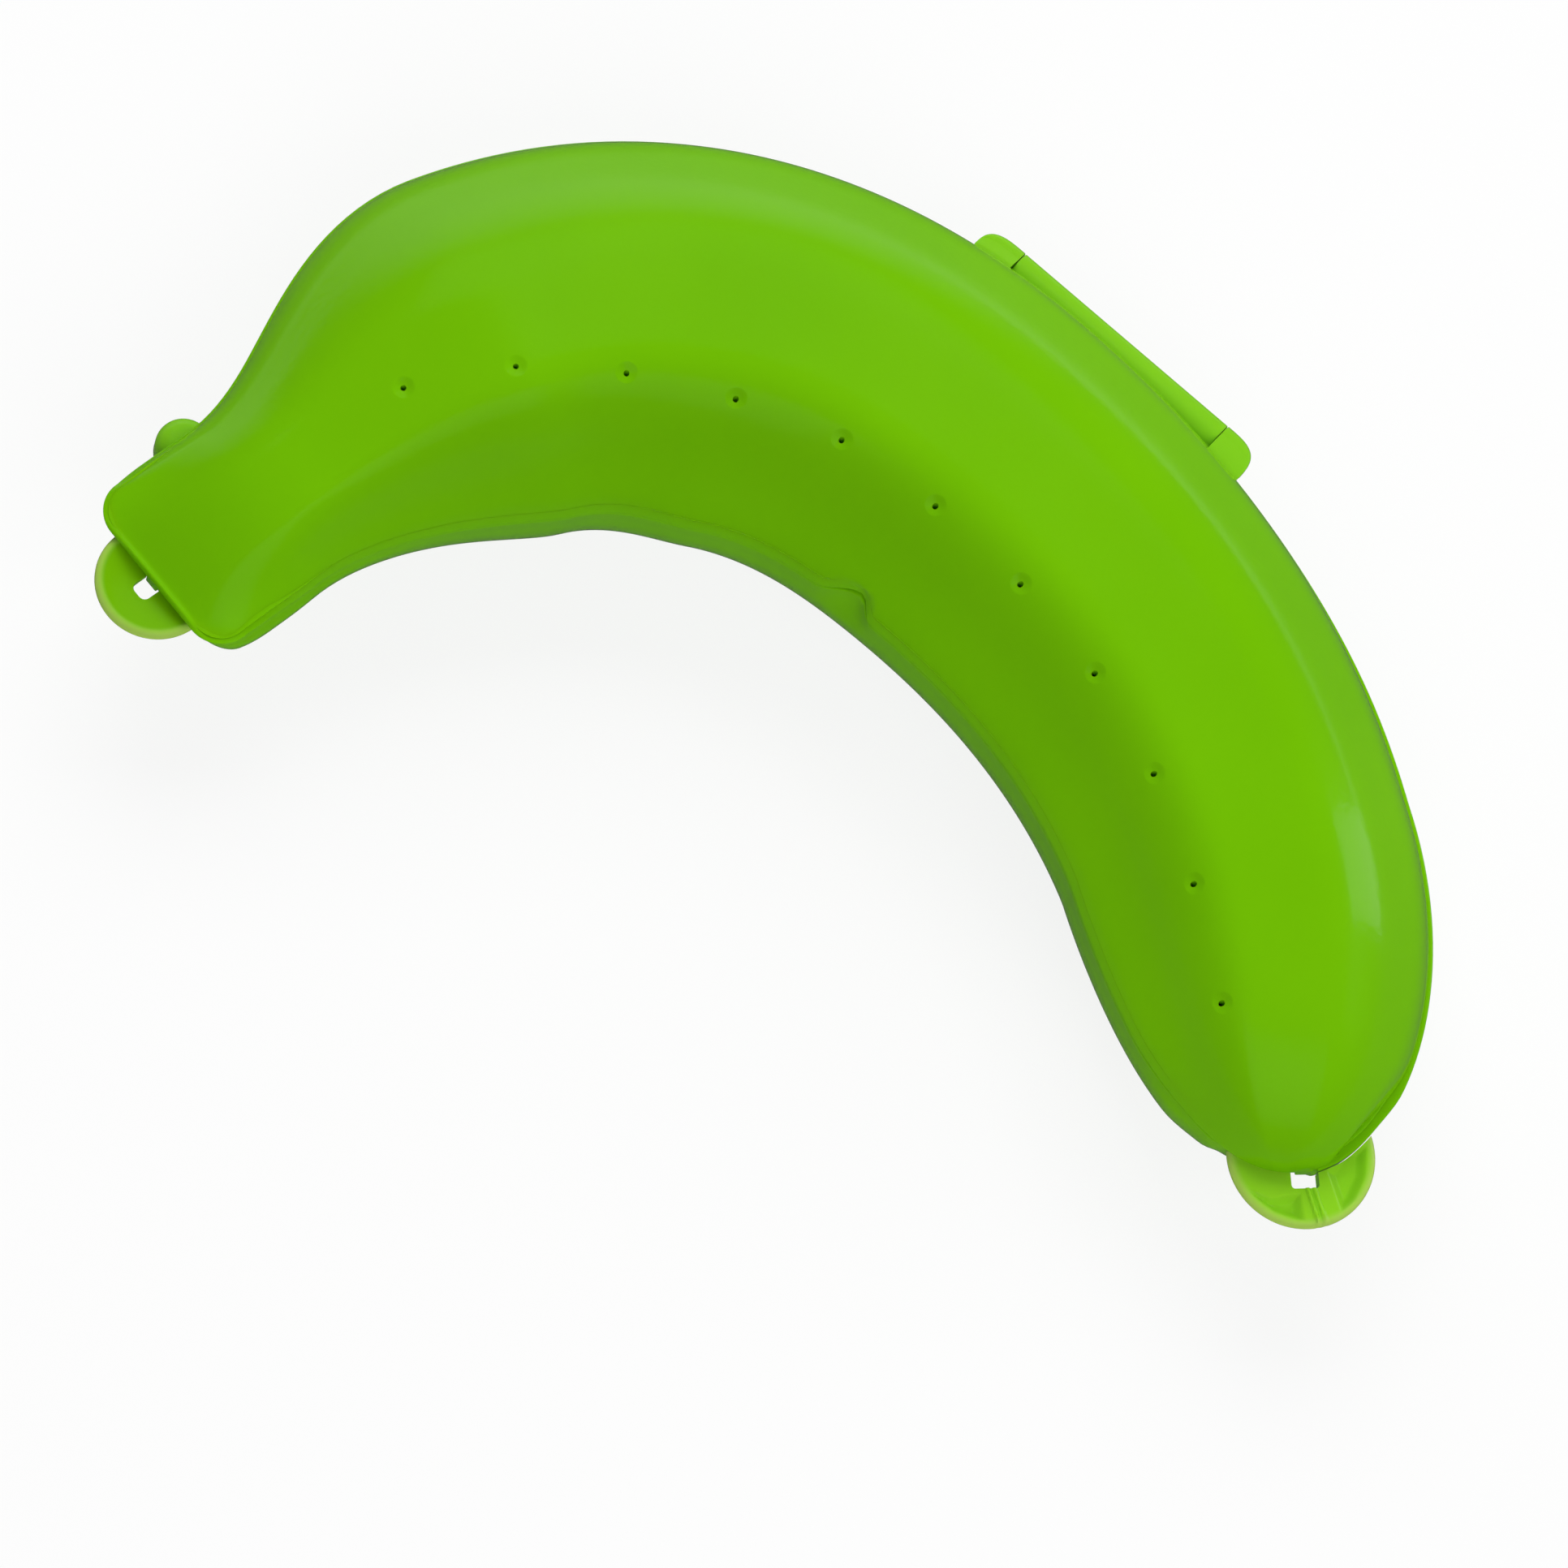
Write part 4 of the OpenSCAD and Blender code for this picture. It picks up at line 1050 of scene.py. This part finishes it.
def make_world():
    """A dim room with a pale wall on the far side."""
    world = bpy.data.worlds.new("studio")
    world.use_nodes = True
    tree = world.node_tree
    background = tree.nodes["Background"]
    background.inputs["Strength"].default_value = 1.0
    place = tree.nodes.new("ShaderNodeTexCoord")
    towards = tree.nodes.new("ShaderNodeVectorMath")
    towards.operation = "DOT_PRODUCT"
    towards.inputs[1].default_value = far_side[:]
    tree.links.new(place.outputs["Generated"], towards.inputs[0])
    split = tree.nodes.new("ShaderNodeSeparateXYZ")
    tree.links.new(place.outputs["Generated"], split.inputs[0])
    limits = []
    sources = (towards.outputs["Value"], split.outputs["Z"])
    for source, (none, full) in zip(sources, (WALL_TOWARDS, WALL_HEIGHTS)):
        limit = tree.nodes.new("ShaderNodeMapRange")
        limit.interpolation_type = "SMOOTHSTEP"
        limit.inputs["From Min"].default_value = none
        limit.inputs["From Max"].default_value = full
        tree.links.new(source, limit.inputs["Value"])
        limits.append(limit.outputs["Result"])
    wall = tree.nodes.new("ShaderNodeMath")
    wall.operation = "MULTIPLY"
    tree.links.new(limits[0], wall.inputs[0])
    tree.links.new(limits[1], wall.inputs[1])
    brightness = tree.nodes.new("ShaderNodeMapRange")
    brightness.inputs["To Min"].default_value = ROOM_BRIGHTNESS
    brightness.inputs["To Max"].default_value = WALL_BRIGHTNESS
    tree.links.new(wall.outputs[0], brightness.inputs["Value"])
    tree.links.new(brightness.outputs["Result"], background.inputs["Color"])
    bpy.context.scene.world = world


def softbox(name, place, target, width, height, power, mirrored):
    """A rectangular lamp that points at its target; only a mirrored one shows in reflections."""
    light = bpy.data.lights.new(name, "AREA")
    light.shape = "RECTANGLE"
    light.size, light.size_y = width, height
    light.energy = power
    lamp = bpy.data.objects.new(name, light)
    bpy.context.scene.collection.objects.link(lamp)
    lamp.location = place
    lamp.rotation_euler = (Vector(target) - Vector(place)).to_track_quat("-Z", "Y").to_euler()
    lamp.visible_glossy = mirrored


def mirrored_lamp(name, s, v, distance, width, height, brightness):
    """A lamp that the camera sees mirrored in the lid, at s along and v across."""
    u = np.interp(s, lid_rows_s, lid_rows_u)
    at = lid_outer(np.array([u]), np.array([v]))[0]
    spot = Vector(tuple(in_frame(*at)))
    normal = Vector(tuple(lid_facing(np.array([u]), np.array([v]))[0]))
    view = (camera_place - spot).normalized()
    place = spot + distance * (2 * normal.dot(view) * normal - view)
    softbox(name, place, spot, width, height, brightness * math.pi * width * height, True)


make_floor()
make_world()
overhead = Vector((0, 0, 1))
LIGHT_TARGET_Z = 0.03
centre = LIGHT_TARGET_Z * overhead
# Softboxes: direction, angle above the floor, distance, width and height in metres, power in watts
for name, direction, lift, distance, width, height, power in (
    ("far_softbox", far_side, 50, 1.1, 0.9, 0.7, 10.1),
    ("near_softbox", -far_side, 45, 1.2, 1.0, 0.8, 8.9),
    ("tip_softbox", far_side.cross(overhead), 25, 1.0, 0.6, 0.6, 1.8),
):
    raised = direction * math.cos(math.radians(lift)) + overhead * math.sin(math.radians(lift))
    softbox(name, centre + distance * raised, centre, width, height, power, False)
mirrored_lamp("tip_window", s=209.0, v=0.34, distance=1.0, width=0.3, height=0.7, brightness=1.5)

camera_data = bpy.data.cameras.new("camera")
camera = bpy.data.objects.new("camera", camera_data)
bpy.context.scene.collection.objects.link(camera)
camera_data.sensor_width = 36.0
camera_data.lens = camera_data.sensor_width * CAMERA_DISTANCE / FRAME_WIDTH_AT_TARGET
camera_data.shift_x, camera_data.shift_y = CAMERA_SHIFT_X, CAMERA_SHIFT_Y
camera.matrix_world = Matrix((
    (right.x, up.x, back.x, 0),
    (right.y, up.y, back.y, 0),
    (right.z, up.z, back.z, 0),
    (0, 0, 0, 1),
))
camera.location = camera_place
bpy.context.scene.camera = camera
bpy.context.scene.view_settings.view_transform = "Standard"
